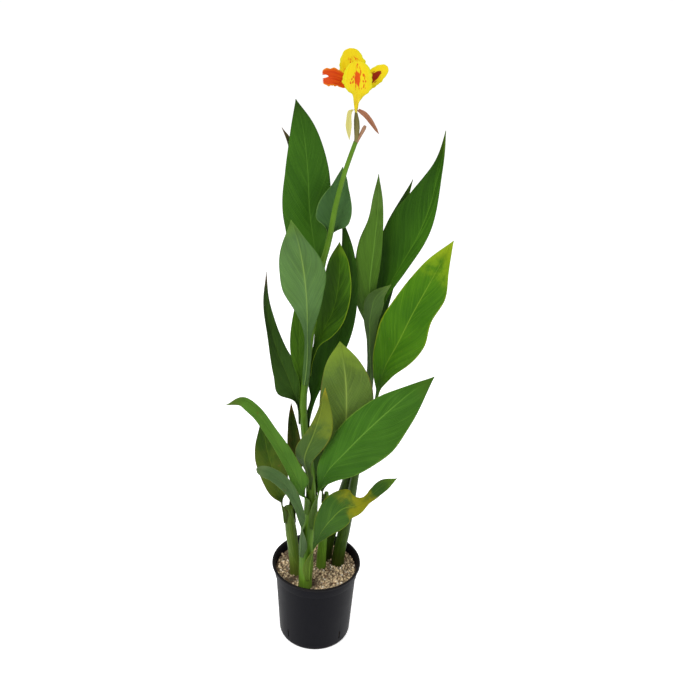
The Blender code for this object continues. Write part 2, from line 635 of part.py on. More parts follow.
def build_filling(earth, stones):
    low = WALL + CLEARANCE
    slope = (WALL_TOP_RADIUS - WALL_FOOT_RADIUS) / (POT_HEIGHT - COLLAR_DEPTH - 0.0108)
    wide = WALL_FOOT_RADIUS - WALL - 2 * CLEARANCE
    top_radius = WALL_TOP_RADIUS - WALL - 2 * CLEARANCE
    profile = [
        (0, low), (FOOT_RADIUS - 0.006, low), (wide - 0.004, 0.0090), (wide + 0.006 * slope, 0.0150),
        (top_radius, POT_HEIGHT - COLLAR_DEPTH - 0.002), (top_radius, SOIL_TOP), (0, SOIL_TOP),
    ]
    soil = revolve("potting_soil", profile, POT_SIDES, earth)
    cut(soil, stem_cutters())

    chance = random.Random(7)
    bottom = SOIL_TOP + CLEARANCE
    points = [(0, 0, GRAVEL_TOP)]
    for i in range(1, GRAVEL_RINGS + 1):
        radius = GRAVEL_RADIUS * (i / GRAVEL_RINGS) ** 0.8
        for j in range(POT_SIDES):
            angle = 2 * math.pi * j / POT_SIDES
            rough = GRAVEL_RELIEF * chance.uniform(-1, 1) if i < GRAVEL_RINGS else -GRAVEL_RELIEF
            points.append((radius * math.cos(angle), radius * math.sin(angle), GRAVEL_TOP + rough))
    faces = [(0, 1 + j, 1 + (j + 1) % POT_SIDES) for j in range(POT_SIDES)]
    for i in range(GRAVEL_RINGS - 1):
        a = 1 + i * POT_SIDES
        for j in range(POT_SIDES):
            k = (j + 1) % POT_SIDES
            faces.extend([(a + j, a + POT_SIDES + j, a + POT_SIDES + k), (a + j, a + POT_SIDES + k, a + k)])
    rim = 1 + (GRAVEL_RINGS - 1) * POT_SIDES
    under = len(points)
    for j in range(POT_SIDES):
        points.append((points[rim + j][0], points[rim + j][1], bottom))
    for j in range(POT_SIDES):
        k = (j + 1) % POT_SIDES
        faces.append((rim + j, under + j, under + k, rim + k))
    faces.append(tuple(under + j for j in range(POT_SIDES)))
    gravel = add_mesh("gravel_topping", points, faces, stones, smooth=False)
    cut(gravel, stem_cutters())


def add_stalk_end(name, end, material):
    """The ovary or the spent flower: a short swelling tube that grows out of the stalk's tip."""
    route, places, radii = end
    line = smooth_route(FLOWERING.line[-1] + np.array(route), END_ROWS)
    return add_tube(name, line, np.interp(np.linspace(0, 1, END_ROWS), places, radii), SHOOT_SIDES, material)


def build_shoots(green):
    for name, shoot in SHOOTS.items():
        if name != "flowering_shoot":
            add_tube(name, shoot.line, shoot.radii, SHOOT_SIDES, green)
    stalk = add_tube("flowering_shoot", FLOWERING.line, FLOWERING.radii, SHOOT_SIDES, green)
    ends = [add_stalk_end(name, end, green) for name, end in STALK_ENDS.items()]
    join_solids("flowering_shoot", [stalk, *ends], green)


def build_leaves(materials):
    for name, spec in LEAVES.items():
        add_blade(name, spec, materials[name])


def build_bloom(yellow, orange, red, pale):
    line = np.array(BLOOM_BASE) + np.array(FLORAL_TUBE)
    parts = [add_tube("floral_tube", line, FLORAL_TUBE_RADII, SHOOT_SIDES, yellow)]
    for name, spec in PETALS.items():
        parts.append(add_blade(name, spec, yellow, rows=PETAL_ROWS))
    join_solids("yellow_bloom", parts, yellow)
    add_blade("orange_petal", ORANGE_PETAL, orange, rows=PETAL_ROWS)
    add_blade("red_sepal", SEPALS["red_sepal"], red, rows=PETAL_ROWS)
    add_blade("pale_sepal", SEPALS["pale_sepal"], pale, rows=PETAL_ROWS)


def main():
    clear_scene()
    build_pot(make_material("pot_plastic", (0.012, 0.013, 0.015), 0.45))
    build_filling(
        make_material("soil_surface", (0.030, 0.020, 0.014), 0.95),
        make_material("gravel_surface", (0.42, 0.33, 0.25), 0.85),
    )
    build_shoots(make_material("shoot_green", (0.110, 0.230, 0.035), 0.45))
    build_leaves({name: make_material(name + "_surface", (0.050, 0.170, 0.020), 0.40) for name in LEAVES})
    build_bloom(
        make_material("petal_yellow", (0.85, 0.66, 0.06), 0.50),
        make_material("petal_orange", (0.75, 0.14, 0.03), 0.50),
        make_material("sepal_red", (0.50, 0.16, 0.10), 0.50),
        make_material("sepal_pale", (0.60, 0.58, 0.24), 0.50),
    )


main()
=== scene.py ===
"""Looks of the potted canna lily: fine leaves, shoots, bloom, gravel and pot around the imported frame.

Metres, Z up. The viewer stands on the -Y side. The origin is the centre of the pot's underside.
"""

import math

import bpy
import numpy as np
from mathutils import Matrix, Vector


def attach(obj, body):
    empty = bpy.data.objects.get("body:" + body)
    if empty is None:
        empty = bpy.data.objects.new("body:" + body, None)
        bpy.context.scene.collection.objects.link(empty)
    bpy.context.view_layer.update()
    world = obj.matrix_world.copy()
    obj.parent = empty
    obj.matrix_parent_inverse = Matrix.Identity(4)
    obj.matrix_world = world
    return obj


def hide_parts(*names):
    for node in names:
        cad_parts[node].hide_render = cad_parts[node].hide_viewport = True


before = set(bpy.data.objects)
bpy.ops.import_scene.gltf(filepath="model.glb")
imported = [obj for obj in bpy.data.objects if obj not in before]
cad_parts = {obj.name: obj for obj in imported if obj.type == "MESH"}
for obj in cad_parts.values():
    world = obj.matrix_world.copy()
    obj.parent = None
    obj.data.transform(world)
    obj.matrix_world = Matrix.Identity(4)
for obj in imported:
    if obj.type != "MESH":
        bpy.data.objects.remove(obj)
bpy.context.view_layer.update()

# Sizes that the solids have too
POT_HEIGHT = 0.2136
LIP_RADIUS = 0.1100
COLLAR_RADIUS = 0.1026
COLLAR_DEPTH = 0.0325
WALL_TOP_RADIUS = 0.0997
WALL_FOOT_RADIUS = 0.0895
FOOT_RADIUS = 0.0820
WALL = 0.0022
SLIT_ANGLES = (45, 135, 225, 315)
SLIT_SIZE = (0.006, 0.0035, 0.024)
SLIT_CENTRE = 0.031
SOIL_TOP = 0.1860
GRAVEL_TOP = 0.1945
GRAVEL_RADIUS = 0.0996
STEM_FOOT = 0.1660
RIB_THICKNESS = 0.0026
TIP_HALF_WIDTH = 0.0006
NECK_HALF_WIDTH = 0.0062
SHEATH_LENGTH = 0.035
SHEATH_WRAP = 0.85
SHEATH_SPREAD = 1.02  # radius of a sheath over the shoot's radius, before the gap
SHEATH_GAP = 0.0011
PETAL_RIB = 0.0004
OPENING = 0.12  # how far past its start a blade lies fully open, as a share of the leaf's length
FLAT_BEND = 1e-4  # a bend below this counts as flat

# Camera, as the viewer of the photograph stood
CAMERA_PLACE = (0.0329, -1.927, 1.832)
CAMERA_DOWN = 27.24
CAMERA_ROLL = 2.07
FOCAL_LENGTH = 52.5
SENSOR = 36.0

# Finer than the solids
LEAF_ROWS = 90
LEAF_COLUMNS = 24
LEAF_THICKNESS = 0.0009
PETAL_ROWS = 60
PETAL_COLUMNS = 28
PETAL_THICKNESS = 0.0007
RIB_CROWDING = 1.25  # draws a sheet's columns together at its rib
RIB_REACH = 0.055  # share of a half width that the raised rib takes
RIB_FADE = 0.85  # share of its height that the rib loses on its way to the tip
SHEATH_FOOT = 0.45  # width of a sheath's foot as a share of its full width
SHEATH_EDGES = 2  # raised sheath edges round a shoot
SHEATH_SPIRAL = 1.5  # turns that they make on their way up
SHEATH_STEP = 0.10  # their height as a share of the shoot's radius
SHOOT_RIPPLE = 0.008  # unevenness of a shoot as a share of its radius
SHOOT_ROWS = 90
TALL_SHOOT_ROWS = 220
SHOOT_SIDES = 28
POT_SIDES = 128

# Shapes


def smooth_route(points, count, dense_steps=24):
    """Evenly spaced points along a rounded line through the given ones, first to last."""
    given = np.array(points, float)
    steps = np.linalg.norm(np.diff(given, axis=0), axis=1)[:, None]
    slopes = np.diff(given, axis=0) / steps
    inner = (slopes[:-1] * steps[1:] + slopes[1:] * steps[:-1]) / (steps[1:] + steps[:-1])
    slopes = np.vstack([slopes[:1], inner, slopes[-1:]])
    dense = []
    for i, step in enumerate(steps):
        t = np.linspace(0, 1, dense_steps, endpoint=False)[:, None]
        ends = (2 * t**3 - 3 * t**2 + 1) * given[i] + (3 * t**2 - 2 * t**3) * given[i + 1]
        leans = (t**3 - 2 * t**2 + t) * slopes[i] + (t**3 - t**2) * slopes[i + 1]
        dense.append(ends + step * leans)
    dense = np.vstack([*dense, given[-1:]])
    length = np.concatenate([[0], np.cumsum(np.linalg.norm(np.diff(dense, axis=0), axis=1))])
    even = np.linspace(0, length[-1], count)
    return np.column_stack([np.interp(even, length, dense[:, k]) for k in range(3)])


def unit(vectors):
    vectors = np.asarray(vectors, float)
    return vectors / np.linalg.norm(vectors, axis=-1, keepdims=True)


def ease(value, start, end):
    """0 before start, 1 after end, and a soft step between."""
    t = np.clip((value - start) / (end - start), 0, 1)
    return t * t * (3 - 2 * t)


class Stem:
    """A round shoot: its route from the ground up, and its radius at each point of that route."""

    def __init__(self, route, radii, rows):
        self.line = smooth_route(route, rows)
        height = np.array(route, float)[:, 2]
        self.radii = np.interp(self.line[:, 2], height, radii)

    def at(self, height):
        centre = [np.interp(height, self.line[:, 2], self.line[:, k]) for k in range(3)]
        return np.array(centre), float(np.interp(height, self.line[:, 2], self.radii))


def half_widths(values, place, blunt):
    """A blade's half width at each place along it, 0 at both ends. A blunt end is rounded off."""
    given = np.array([0.0, *values, values[-1] if blunt else 0.0])
    slopes = np.gradient(given)
    step = place * (len(given) - 1)
    i = np.minimum(step.astype(int), len(given) - 2)
    t = step - i
    width = (2 * t**3 - 3 * t**2 + 1) * given[i] + (3 * t**2 - 2 * t**3) * given[i + 1]
    width = width + (t**3 - 2 * t**2 + t) * slopes[i] + (t**3 - t**2) * slopes[i + 1]
    if blunt:
        width = width * np.sqrt(1 - np.clip((place - 1 + blunt) / blunt, 0, 1) ** 2)
    return np.maximum(width, 0)


def blade_grid(spec, rows, columns):
    """Middle surface of a leaf or petal and its outward direction, row by row."""
    start = spec["start"]
    hug = spec["hug"]
    open_at = start + OPENING
    line = smooth_route(spec["route"], rows)
    t = np.linspace(0, 1, rows)
    along = unit(np.gradient(line, axis=0))
    faces = unit(spec["face"])
    place = np.linspace(0, 1, len(faces))
    if hug:
        place = np.concatenate([[0, hug], np.linspace(open_at, 1, len(faces) - 1)])
        faces = np.vstack([faces[:1], faces])
    face = unit(np.column_stack([np.interp(t, place, faces[:, k]) for k in range(3)]))
    across = unit(np.cross(along, face))
    up = np.cross(across, along)

    u = np.clip((t - start) / (1 - start), 0, 1)
    neck = spec["neck"]
    opened = np.ones(rows)
    if hug:
        leave = 1 - ease(t, hug * 0.7, max(start, hug + 0.02))
        foot = SHEATH_FOOT + (1 - SHEATH_FOOT) * ease(t, 0, hug)
        neck = (neck + (spec["sheath"] - neck) * leave) * foot
        opened = ease(t, hug, open_at)
    neck = neck * (1 - ease(t, start, 1)) + TIP_HALF_WIDTH
    wave = spec["wave"] * np.sin(2 * np.pi * spec["waves"] * u) * opened * (1 - u**6)

    grid = np.empty((rows, len(columns), 3))
    for j, c in enumerate(columns):
        values = spec["halves"][0 if c < 0 else 1]
        width = np.hypot(neck, half_widths(values, u, spec["blunt"]))
        reach = abs(c) * width
        bend = (1 - opened) / spec["wrap_radius"] - opened * spec["arch"] / max(values)
        bend = np.where(np.abs(bend) < FLAT_BEND, FLAT_BEND, bend)
        tilt = spec["fold"] * opened
        sideways = (np.sin(tilt + bend * reach) - np.sin(tilt)) / bend
        lift = (np.cos(tilt) - np.cos(tilt + bend * reach)) / bend
        lift = lift + wave * c * c
        grid[:, j] = line + across * (sideways * np.sign(c))[:, None] + up * lift[:, None]

    down_rows = np.gradient(grid, axis=0)
    down_columns = np.gradient(grid, axis=1)
    normal = unit(np.cross(down_columns, down_rows))
    normal[-1] = up[-1]
    return grid, normal


def blade(route, halves, face, **more):
    """Everything that shapes a blade. Halves are its half widths each side of the rib, foot to tip, in mm."""
    spec = dict(
        route=route, halves=[np.array(side) / 1000 for side in halves], face=face, start=0.0, blunt=0.0,
        fold=0.25, arch=0.2, wave=0.0, waves=2.0, neck=NECK_HALF_WIDTH, sheath=0.0, hug=0.0,
        wrap_radius=1.0, rib=RIB_THICKNESS,
    )
    spec.update(more)
    return spec


def leaf(
    stem, height, side, route, halves, face, start=0.2, sheath_length=SHEATH_LENGTH, gap=SHEATH_GAP, **more
):
    """A leaf whose sheath lies against a shoot. Side is the way it looks out, 270 to the viewer."""
    out = np.array((math.cos(math.radians(side)), math.sin(math.radians(side)), 0.0))
    low, low_radius = stem.at(height)
    high, high_radius = stem.at(height + sheath_length)
    radius = SHEATH_SPREAD * max(low_radius, high_radius) + gap
    full_route = [low + out * radius, high + out * radius, *route]
    total = smooth_route(full_route, 60)
    length = np.linalg.norm(np.diff(total, axis=0), axis=1).sum()
    return blade(
        full_route, halves, [-out, *face], start=start, hug=sheath_length / length,
        wrap_radius=radius, sheath=radius * SHEATH_WRAP, **more,
    )


def petal(route, halves, face, neck=0.003, **more):
    """A petal or sepal: a blade with no sheath and only a slight rib."""
    return blade(route, halves, face, neck=neck, rib=PETAL_RIB, **more)


# Shoots, from the ground up

FLOWERING = Stem(
    [
        (-0.024, -0.070, STEM_FOOT), (-0.024, -0.070, 0.200), (-0.023, -0.066, 0.315),
        (-0.015, -0.060, 0.443), (-0.021, -0.055, 0.537), (-0.034, -0.048, 0.630),
        (-0.038, -0.042, 0.712), (-0.033, -0.038, 0.765), (-0.025, -0.032, 0.858),
        (-0.014, -0.028, 0.942), (-0.003, -0.024, 1.029), (0.008, -0.022, 1.075),
        (0.018, -0.020, 1.143), (0.038, -0.020, 1.232), (0.055, -0.020, 1.2865),
    ],
    [
        0.0165, 0.0165, 0.0170, 0.0128, 0.0112, 0.0095, 0.0088, 0.0092, 0.0078, 0.0072,
        0.0066, 0.0062, 0.0058, 0.0050, 0.0048,
    ],
    40,
)
LEFT = Stem(
    [
        (-0.050, -0.020, STEM_FOOT), (-0.050, -0.020, 0.200), (-0.061, -0.022, 0.306),
        (-0.070, -0.022, 0.390),
    ],
    [0.0158, 0.0158, 0.0145, 0.0115],
    12,
)
RIGHT = Stem(
    [
        (0.054, 0.020, STEM_FOOT), (0.054, 0.020, 0.200), (0.067, 0.020, 0.296),
        (0.079, 0.020, 0.388), (0.089, 0.020, 0.476), (0.111, 0.016, 0.607), (0.119, 0.014, 0.664),
    ],
    [0.0160, 0.0160, 0.0150, 0.0125, 0.0100, 0.0070, 0.0055],
    18,
)
BACK = Stem(
    [
        (0.024, 0.040, STEM_FOOT), (0.024, 0.040, 0.200), (0.044, 0.044, 0.318),
        (0.071, 0.046, 0.435), (0.096, 0.046, 0.580), (0.109, 0.044, 0.705), (0.108, 0.044, 0.800),
    ],
    [0.0155, 0.0155, 0.0145, 0.0125, 0.0095, 0.0075, 0.0060],
    18,
)
MIDDLE = Stem(
    [
        (0.012, 0.005, STEM_FOOT), (0.012, 0.005, 0.200), (0.016, 0.006, 0.300),
        (0.020, 0.002, 0.395), (0.020, -0.001, 0.422),
    ],
    [0.0125, 0.0125, 0.0110, 0.0080, 0.0055],
    12,
)
SHOOTS = {
    "flowering_shoot": FLOWERING,
    "left_shoot": LEFT,
    "right_shoot": RIGHT,
    "back_shoot": BACK,
    "middle_shoot": MIDDLE,
}

# Leaves, from the top down

LEAVES = {
    "stalk_leaf": leaf(
        FLOWERING, 1.060, 100,
        [(0.014, 0.004, 1.114), (0.022, 0.011, 1.153), (0.031, 0.016, 1.223)],
        [(32, 38, 37, 30, 18, 9), (30, 36, 34, 27, 19, 12)], [(0.1, -1, 0.2), (0.0, -1, 0.3)],
        start=0.17, sheath_length=0.02, fold=0.3,
    ),
    "tall_left_leaf": leaf(
        FLOWERING, 0.965, 105,
        [(-0.022, 0.012, 1.045), (-0.034, 0.024, 1.114), (-0.041, 0.034, 1.208), (-0.052, 0.042, 1.289),
         (-0.068, 0.045, 1.351)],
        [(48, 56, 56, 49, 38, 23), (28, 42, 46, 44, 36, 22)], [(0.15, -1, 0.2), (0.1, -1, 0.2)],
        start=0.12, sheath_length=0.03, fold=0.2, wave=0.003,
    ),
    "curled_back_leaf": leaf(
        FLOWERING, 0.905, 140,
        [(-0.040, 0.030, 1.040), (-0.055, 0.062, 1.160), (-0.078, 0.075, 1.250), (-0.097, 0.070, 1.285)],
        [(12, 22, 26, 24, 16, 8), (12, 20, 24, 22, 14, 7)], [(0.4, -1, 0.2), (0.3, -1, 0.3)],
        start=0.3, sheath_length=0.025,
    ),
    "light_front_leaf": leaf(
        FLOWERING, 0.745, 265,
        [(-0.031, -0.075, 0.894), (-0.035, -0.090, 0.993), (-0.043, -0.098, 1.058),
         (-0.054, -0.100, 1.110), (-0.067, -0.100, 1.148)],
        [(14, 26, 36, 44, 35, 15), (13, 30, 49, 53, 48, 31)], [(0.1, 1, 0.15), (0.2, 1, 0.1)],
        start=0.30, fold=0.15, wave=0.003,
    ),
    "bright_edged_leaf": leaf(
        FLOWERING, 0.760, 35,
        [(0.005, -0.006, 0.868), (0.021, 0.000, 0.905), (0.031, 0.006, 0.964), (0.030, 0.008, 1.062)],
        [(15, 27, 32, 33, 30, 21), (23, 33, 35, 33, 29, 20)], [(-0.5, -1, 0.1), (-0.3, -1, 0.2)],
        start=0.2, fold=0.3, wave=0.002, waves=3, gap=0.0014,
    ),
    "inner_right_leaf": leaf(
        FLOWERING, 0.600, 40,
        [(-0.006, 0.000, 0.720), (0.036, 0.022, 0.836), (0.051, 0.032, 0.954), (0.047, 0.034, 1.040),
         (0.034, 0.034, 1.105)],
        [(36, 36, 29, 26, 21, 12), (14, 24, 28, 26, 21, 12)], [(-0.3, -1, 0.2), (-0.1, -1, 0.2)], start=0.17,
    ),
    "left_strip_leaf": leaf(
        FLOWERING, 0.700, 150, [(-0.051, -0.018, 0.815), (-0.050, -0.002, 0.900), (-0.044, 0.006, 0.990)],
        [(12, 19, 20, 17, 12, 6), (12, 19, 20, 17, 12, 6)], [(0.3, -1, 0.1), (0.1, -1, 0.2)],
        start=0.15, gap=0.0015,
    ),
    "dark_left_leaf": leaf(
        FLOWERING, 0.640, 165,
        [(-0.067, -0.020, 0.727), (-0.100, -0.008, 0.808), (-0.123, 0.000, 0.896), (-0.124, 0.000, 0.991)],
        [(36, 30, 20, 13, 10, 7), (26, 27, 21, 16, 12, 6)], [(0.3, -1, 0.1), (0.8, -0.6, 0.1)],
        start=0.11, fold=0.3, wave=0.002,
    ),
    "upright_right_leaf": leaf(
        BACK, 0.735, 270,
        [(0.101, 0.030, 0.886), (0.099, 0.028, 0.957), (0.105, 0.036, 1.058), (0.108, 0.040, 1.135),
         (0.106, 0.040, 1.203)],
        [(9, 14, 18, 17, 14, 9), (26, 33, 37, 34, 19, 12)], [(0.1, 1, 0.0), (0.0, 1, 0.0)],
        start=0.24, fold=0.25, wave=0.002,
    ),
    "high_right_leaf": leaf(
        BACK, 0.660, 60,
        [(0.131, 0.060, 0.914), (0.165, 0.070, 0.984), (0.198, 0.076, 1.051), (0.221, 0.082, 1.120),
         (0.233, 0.086, 1.191), (0.240, 0.088, 1.244), (0.242, 0.088, 1.286)],
        [(13, 34, 66, 72, 48, 14), (5, 12, 20, 23, 14, 8)], [(-0.5, -1, 0.3), (-0.4, -1, 0.3)],
        start=0.22, fold=0.3, wave=0.003, waves=2.5,
    ),
    "behind_right_leaf": leaf(
        BACK, 0.590, 95,
        [(0.116, 0.085, 0.760), (0.130, 0.118, 0.930), (0.152, 0.130, 1.060), (0.184, 0.130, 1.165)],
        [(12, 24, 30, 27, 20, 10), (12, 24, 30, 27, 20, 10)], [(-0.2, -1, 0.2), (-0.2, -1, 0.3)], start=0.3,
    ),
    "rolled_leaf": leaf(
        BACK, 0.640, 300,
        [(0.106, 0.018, 0.820), (0.104, 0.011, 0.895), (0.115, 0.006, 0.943), (0.144, 0.004, 0.970)],
        [(5, 8, 14, 20, 23, 16), (5, 8, 14, 19, 22, 10)], [(0.3, 1, 0.2), (0.5, 1, 0.2)],
        start=0.35, fold=0.4,
    ),
    "yellow_tipped_leaf": leaf(
        RIGHT, 0.630, 10,
        [(0.143, -0.006, 0.779), (0.164, -0.010, 0.832), (0.190, -0.012, 0.902), (0.225, -0.010, 0.983),
         (0.268, -0.004, 1.079)],
        [(20, 44, 55, 50, 42, 27), (20, 45, 56, 45, 46, 23)], [(-0.3, -1, 0.2), (-0.3, -1, 0.3)],
        start=0.14, fold=0.2, wave=0.004, waves=2.5,
    ),
    "centre_leaf": leaf(
        FLOWERING, 0.430, 50,
        [(0.033, -0.062, 0.564), (0.057, -0.072, 0.659), (0.057, -0.080, 0.741), (0.050, -0.085, 0.811),
         (0.038, -0.086, 0.875)],
        [(20, 32, 46, 57, 58, 50, 31), (28, 43, 55, 61, 58, 50, 34)], [(0.1, 1, 0.1), (0.1, 1, 0.1)],
        start=0.24, fold=0.15, wave=0.004,
    ),
    "twisted_leaf": leaf(
        FLOWERING, 0.480, 255,
        [(-0.030, -0.100, 0.589), (-0.011, -0.114, 0.662), (0.003, -0.122, 0.725), (0.011, -0.124, 0.783)],
        [(12, 24, 34, 38, 30, 15), (20, 26, 21, 14, 9, 5)], [(0.4, 1, 0.2), (0.0, 1, 0.2)],
        start=0.15, fold=0.3,
    ),
    "wide_right_leaf": leaf(
        FLOWERING, 0.370, 310,
        [(0.022, -0.102, 0.555), (0.059, -0.112, 0.613), (0.100, -0.120, 0.672), (0.151, -0.123, 0.734),
         (0.197, -0.120, 0.781), (0.241, -0.112, 0.813)],
        [(24, 42, 49, 46, 36, 16), (26, 52, 66, 71, 57, 35)], [(-0.5, -1, 0.5), (-0.3, -1, 0.4)],
        start=0.24, neck=0.009, fold=0.15, wave=0.003,
    ),
    "arching_left_leaf": leaf(
        FLOWERING, 0.410, 222,
        [(-0.037, -0.101, 0.505), (-0.063, -0.110, 0.575), (-0.103, -0.112, 0.655), (-0.140, -0.106, 0.713),
         (-0.165, -0.096, 0.727), (-0.205, -0.088, 0.710)],
        [(13, 11, 12, 12, 15, 15), (20, 18, 17, 14, 11, 9)], [(0.3, -1, 0.5), (-0.1, -1, 0.6)],
        start=0.16, neck=0.011,
    ),
    "hanging_left_leaf": leaf(
        LEFT, 0.350, 215, [(-0.098, -0.045, 0.481), (-0.118, -0.052, 0.571), (-0.130, -0.054, 0.664)],
        [(20, 29, 32, 32, 25, 12), (20, 29, 34, 32, 24, 12)], [(0.2, -1, 0.3), (0.1, -1, 0.3)],
        start=0.2, fold=0.2, wave=0.003,
    ),
    "small_blue_leaf": leaf(
        FLOWERING, 0.290, 225,
        [(-0.043, -0.112, 0.460), (-0.072, -0.124, 0.529), (-0.105, -0.132, 0.565), (-0.136, -0.132, 0.575)],
        [(5, 7, 10, 13, 15, 15), (5, 8, 12, 14, 15, 13)], [(0.2, -1, 0.6), (0.1, -1, 0.6)],
        start=0.33, blunt=0.12, neck=0.008, fold=0.35,
    ),
    "brown_edged_leaf": leaf(
        LEFT, 0.340, 50, [(-0.057, -0.006, 0.520), (-0.062, -0.012, 0.600), (-0.067, -0.012, 0.676)],
        [(11, 17, 19, 17, 14, 9), (11, 17, 20, 18, 14, 8)], [(0.3, -1, 0.1), (0.1, -1, 0.1)], start=0.25,
        fold=0.5, wave=0.002, waves=3, sheath_length=0.025,
    ),
    "inner_front_leaf": leaf(
        MIDDLE, 0.392, 200, [(0.003, -0.010, 0.535), (0.009, -0.012, 0.610)],
        [(16, 24, 26, 24, 18, 10), (16, 24, 26, 22, 17, 9)], [(0.4, -1, 0.1), (0.1, -1, 0.1)],
        start=0.15, sheath_length=0.025, gap=0.0016,
    ),
    "low_right_leaf": leaf(
        FLOWERING, 0.222, 300,
        [(0.007, -0.100, 0.370), (0.033, -0.108, 0.424), (0.063, -0.110, 0.460), (0.090, -0.108, 0.467),
         (0.118, -0.106, 0.492), (0.146, -0.105, 0.522), (0.178, -0.104, 0.543)],
        [(15, 28, 38, 43, 38, 9, 12, 13), (13, 24, 33, 34, 24, 13, 14, 13)],
        [(-0.3, -1, 0.4), (0.0, -1, 0.5)],
        start=0.3, fold=0.1,
    ),
}

# Ovary and spent flower: their routes from the stalk's tip, and their radii at shares of the way

STALK_ENDS = {
    "ovary": (
        [(-0.006, 0, -0.018), (0, 0, 0), (0.001, 0, 0.0255), (-0.0018, 0, 0.0581)],
        [0, 0.3, 0.6, 0.8, 1], [0.0030, 0.0042, 0.0062, 0.0058, 0.0028],
    ),
    "spent_flower": (
        [(-0.006, 0, -0.018), (0.004, 0, 0.004), (0.011, 0, 0.0185), (0.0175, 0, 0.0325)],
        [0, 0.6, 0.9, 1], [0.0030, 0.0034, 0.0042, 0.0030],
    ),
}

# Bloom

BLOOM_BASE = (0.053, -0.020, 1.345)
FLORAL_TUBE = [(0, 0, 0), (0, 0, 0.010), (-0.0005, -0.001, 0.022), (-0.001, -0.002, 0.032)]
FLORAL_TUBE_RADII = [0.0026, 0.0042, 0.0055, 0.0050]
PETALS = {
    "top": petal(
        [(0.052, -0.020, 1.366), (0.047, -0.012, 1.406), (0.036, 0.000, 1.463)],
        [(4, 10, 18, 25, 26, 21), (4, 10, 18, 25, 27, 22)], [(0, -1, 0.2), (0, -1, 0.3)], blunt=0.2,
        neck=0.004, fold=0.1, wave=0.0015, waves=3,
    ),
    "lip": petal(
        [(0.053, -0.024, 1.362), (0.054, -0.046, 1.395), (0.049, -0.056, 1.450)],
        [(5, 10, 21, 29, 29, 23), (5, 15, 26, 30, 29, 26)], [(0, -1, 0.3), (0, -1, 0.5)], blunt=0.2,
        neck=0.004, fold=0.15, wave=0.002, waves=3,
    ),
    "right": petal(
        [(0.054, -0.020, 1.366), (0.077, -0.014, 1.405), (0.110, -0.014, 1.434)],
        [(4, 9, 14, 16, 16, 14), (4, 9, 14, 17, 17, 14)], [(0, -1, 0.3), (0.2, -1, 0.4)], blunt=0.22,
        neck=0.004, fold=0.1, wave=0.0015, waves=3,
    ),
}
ORANGE_PETAL = petal(
    [(0.0510, -0.0250, 1.3806), (0.030, -0.031, 1.404), (0.010, -0.034, 1.414), (-0.016, -0.036, 1.413)],
    [(3, 8, 13, 16, 18, 18), (3, 8, 13, 16, 18, 18)],
    [(0, -1, 0.3), (0, -1, 0.4)], blunt=0.14, fold=0.2,
)
SEPALS = {
    "red_sepal": petal(
        [(0.0572, -0.0215, 1.350), (0.069, -0.032, 1.345), (0.099, -0.038, 1.309)],
        [(4, 5, 5, 5, 4, 3), (4, 5, 5, 5, 4, 3)], [(0.5, -1, 0.6), (0.6, -1, 0.5)],
        fold=0.3,
    ),
    "pale_sepal": petal(
        [(0.0478, -0.0215, 1.350), (0.042, -0.032, 1.349), (0.040, -0.037, 1.327), (0.042, -0.037, 1.295)],
        [(3, 4, 5, 6, 5, 3), (3, 4, 5, 6, 5, 3)],
        [(-0.3, -0.2, 1), (-0.3, -1, 0.3), (-0.2, -1, 0.1)], fold=0.3,
    ),
}


# Mesh tools


def deselect():
    if bpy.context.mode != "OBJECT":
        bpy.ops.object.mode_set(mode="OBJECT")
    bpy.ops.object.select_all(action="DESELECT")


def only(thing):
    deselect()
    bpy.context.view_layer.objects.active = thing
    thing.select_set(True)


def edit_all(thing):
    """Edit mode on the one object, with all of it selected."""
    only(thing)
    bpy.ops.object.mode_set(mode="EDIT")
    bpy.ops.mesh.select_all(action="SELECT")


def apply_all(thing):
    only(thing)
    for modifier in list(thing.modifiers):
        bpy.ops.object.modifier_apply(modifier=modifier.name)


def settle(thing):
    """The object's place goes into its mesh."""
    only(thing)
    bpy.ops.object.transform_apply(location=True, rotation=True, scale=True)


def put_points(mesh, points):
    mesh.vertices.foreach_set("co", np.asarray(points, np.float32).ravel())
    mesh.update()


def add_sheet(name, rows, columns):
    """A grid of one face per cell, its rows along V and its columns along U."""
    deselect()
    bpy.ops.mesh.primitive_grid_add(x_subdivisions=columns - 1, y_subdivisions=rows - 1, size=1.0)
    sheet = bpy.context.object
    sheet.name = name
    sheet.data.name = name
    return sheet


def dress(piece, node, slot):
    """The piece stands for a solid of the frame, which it hides, and moves with the frame. Slot is not used.
    """
    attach(piece, "root")
    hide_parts(node)


def finish_mesh(thing, angle):
    """Faces point outwards, and edges flatter than the angle look smooth."""
    edit_all(thing)
    bpy.ops.mesh.normals_make_consistent(inside=False)
    bpy.ops.object.mode_set(mode="OBJECT")
    bpy.ops.object.shade_smooth_by_angle(angle=math.radians(angle))


def lathe(name, profile, sides):
    """A closed body turned about Z, built up by drawing rings out of its first ring."""
    deselect()
    radius, height = profile[0]
    place = (0, 0, height)
    bpy.ops.mesh.primitive_circle_add(vertices=sides, radius=radius, location=place, fill_type="NGON")
    thing = bpy.context.object
    thing.name = name
    settle(thing)
    edit_all(thing)
    for next_radius, next_height in profile[1:]:
        move = {"value": (0, 0, next_height - height)}
        bpy.ops.mesh.extrude_region_move(TRANSFORM_OT_translate=move)
        grow = next_radius / radius
        bpy.ops.transform.resize(value=(grow, grow, 1), center_override=(0, 0, next_height))
        radius, height = next_radius, next_height
    bpy.ops.object.mode_set(mode="OBJECT")
    return thing


# Shader sums


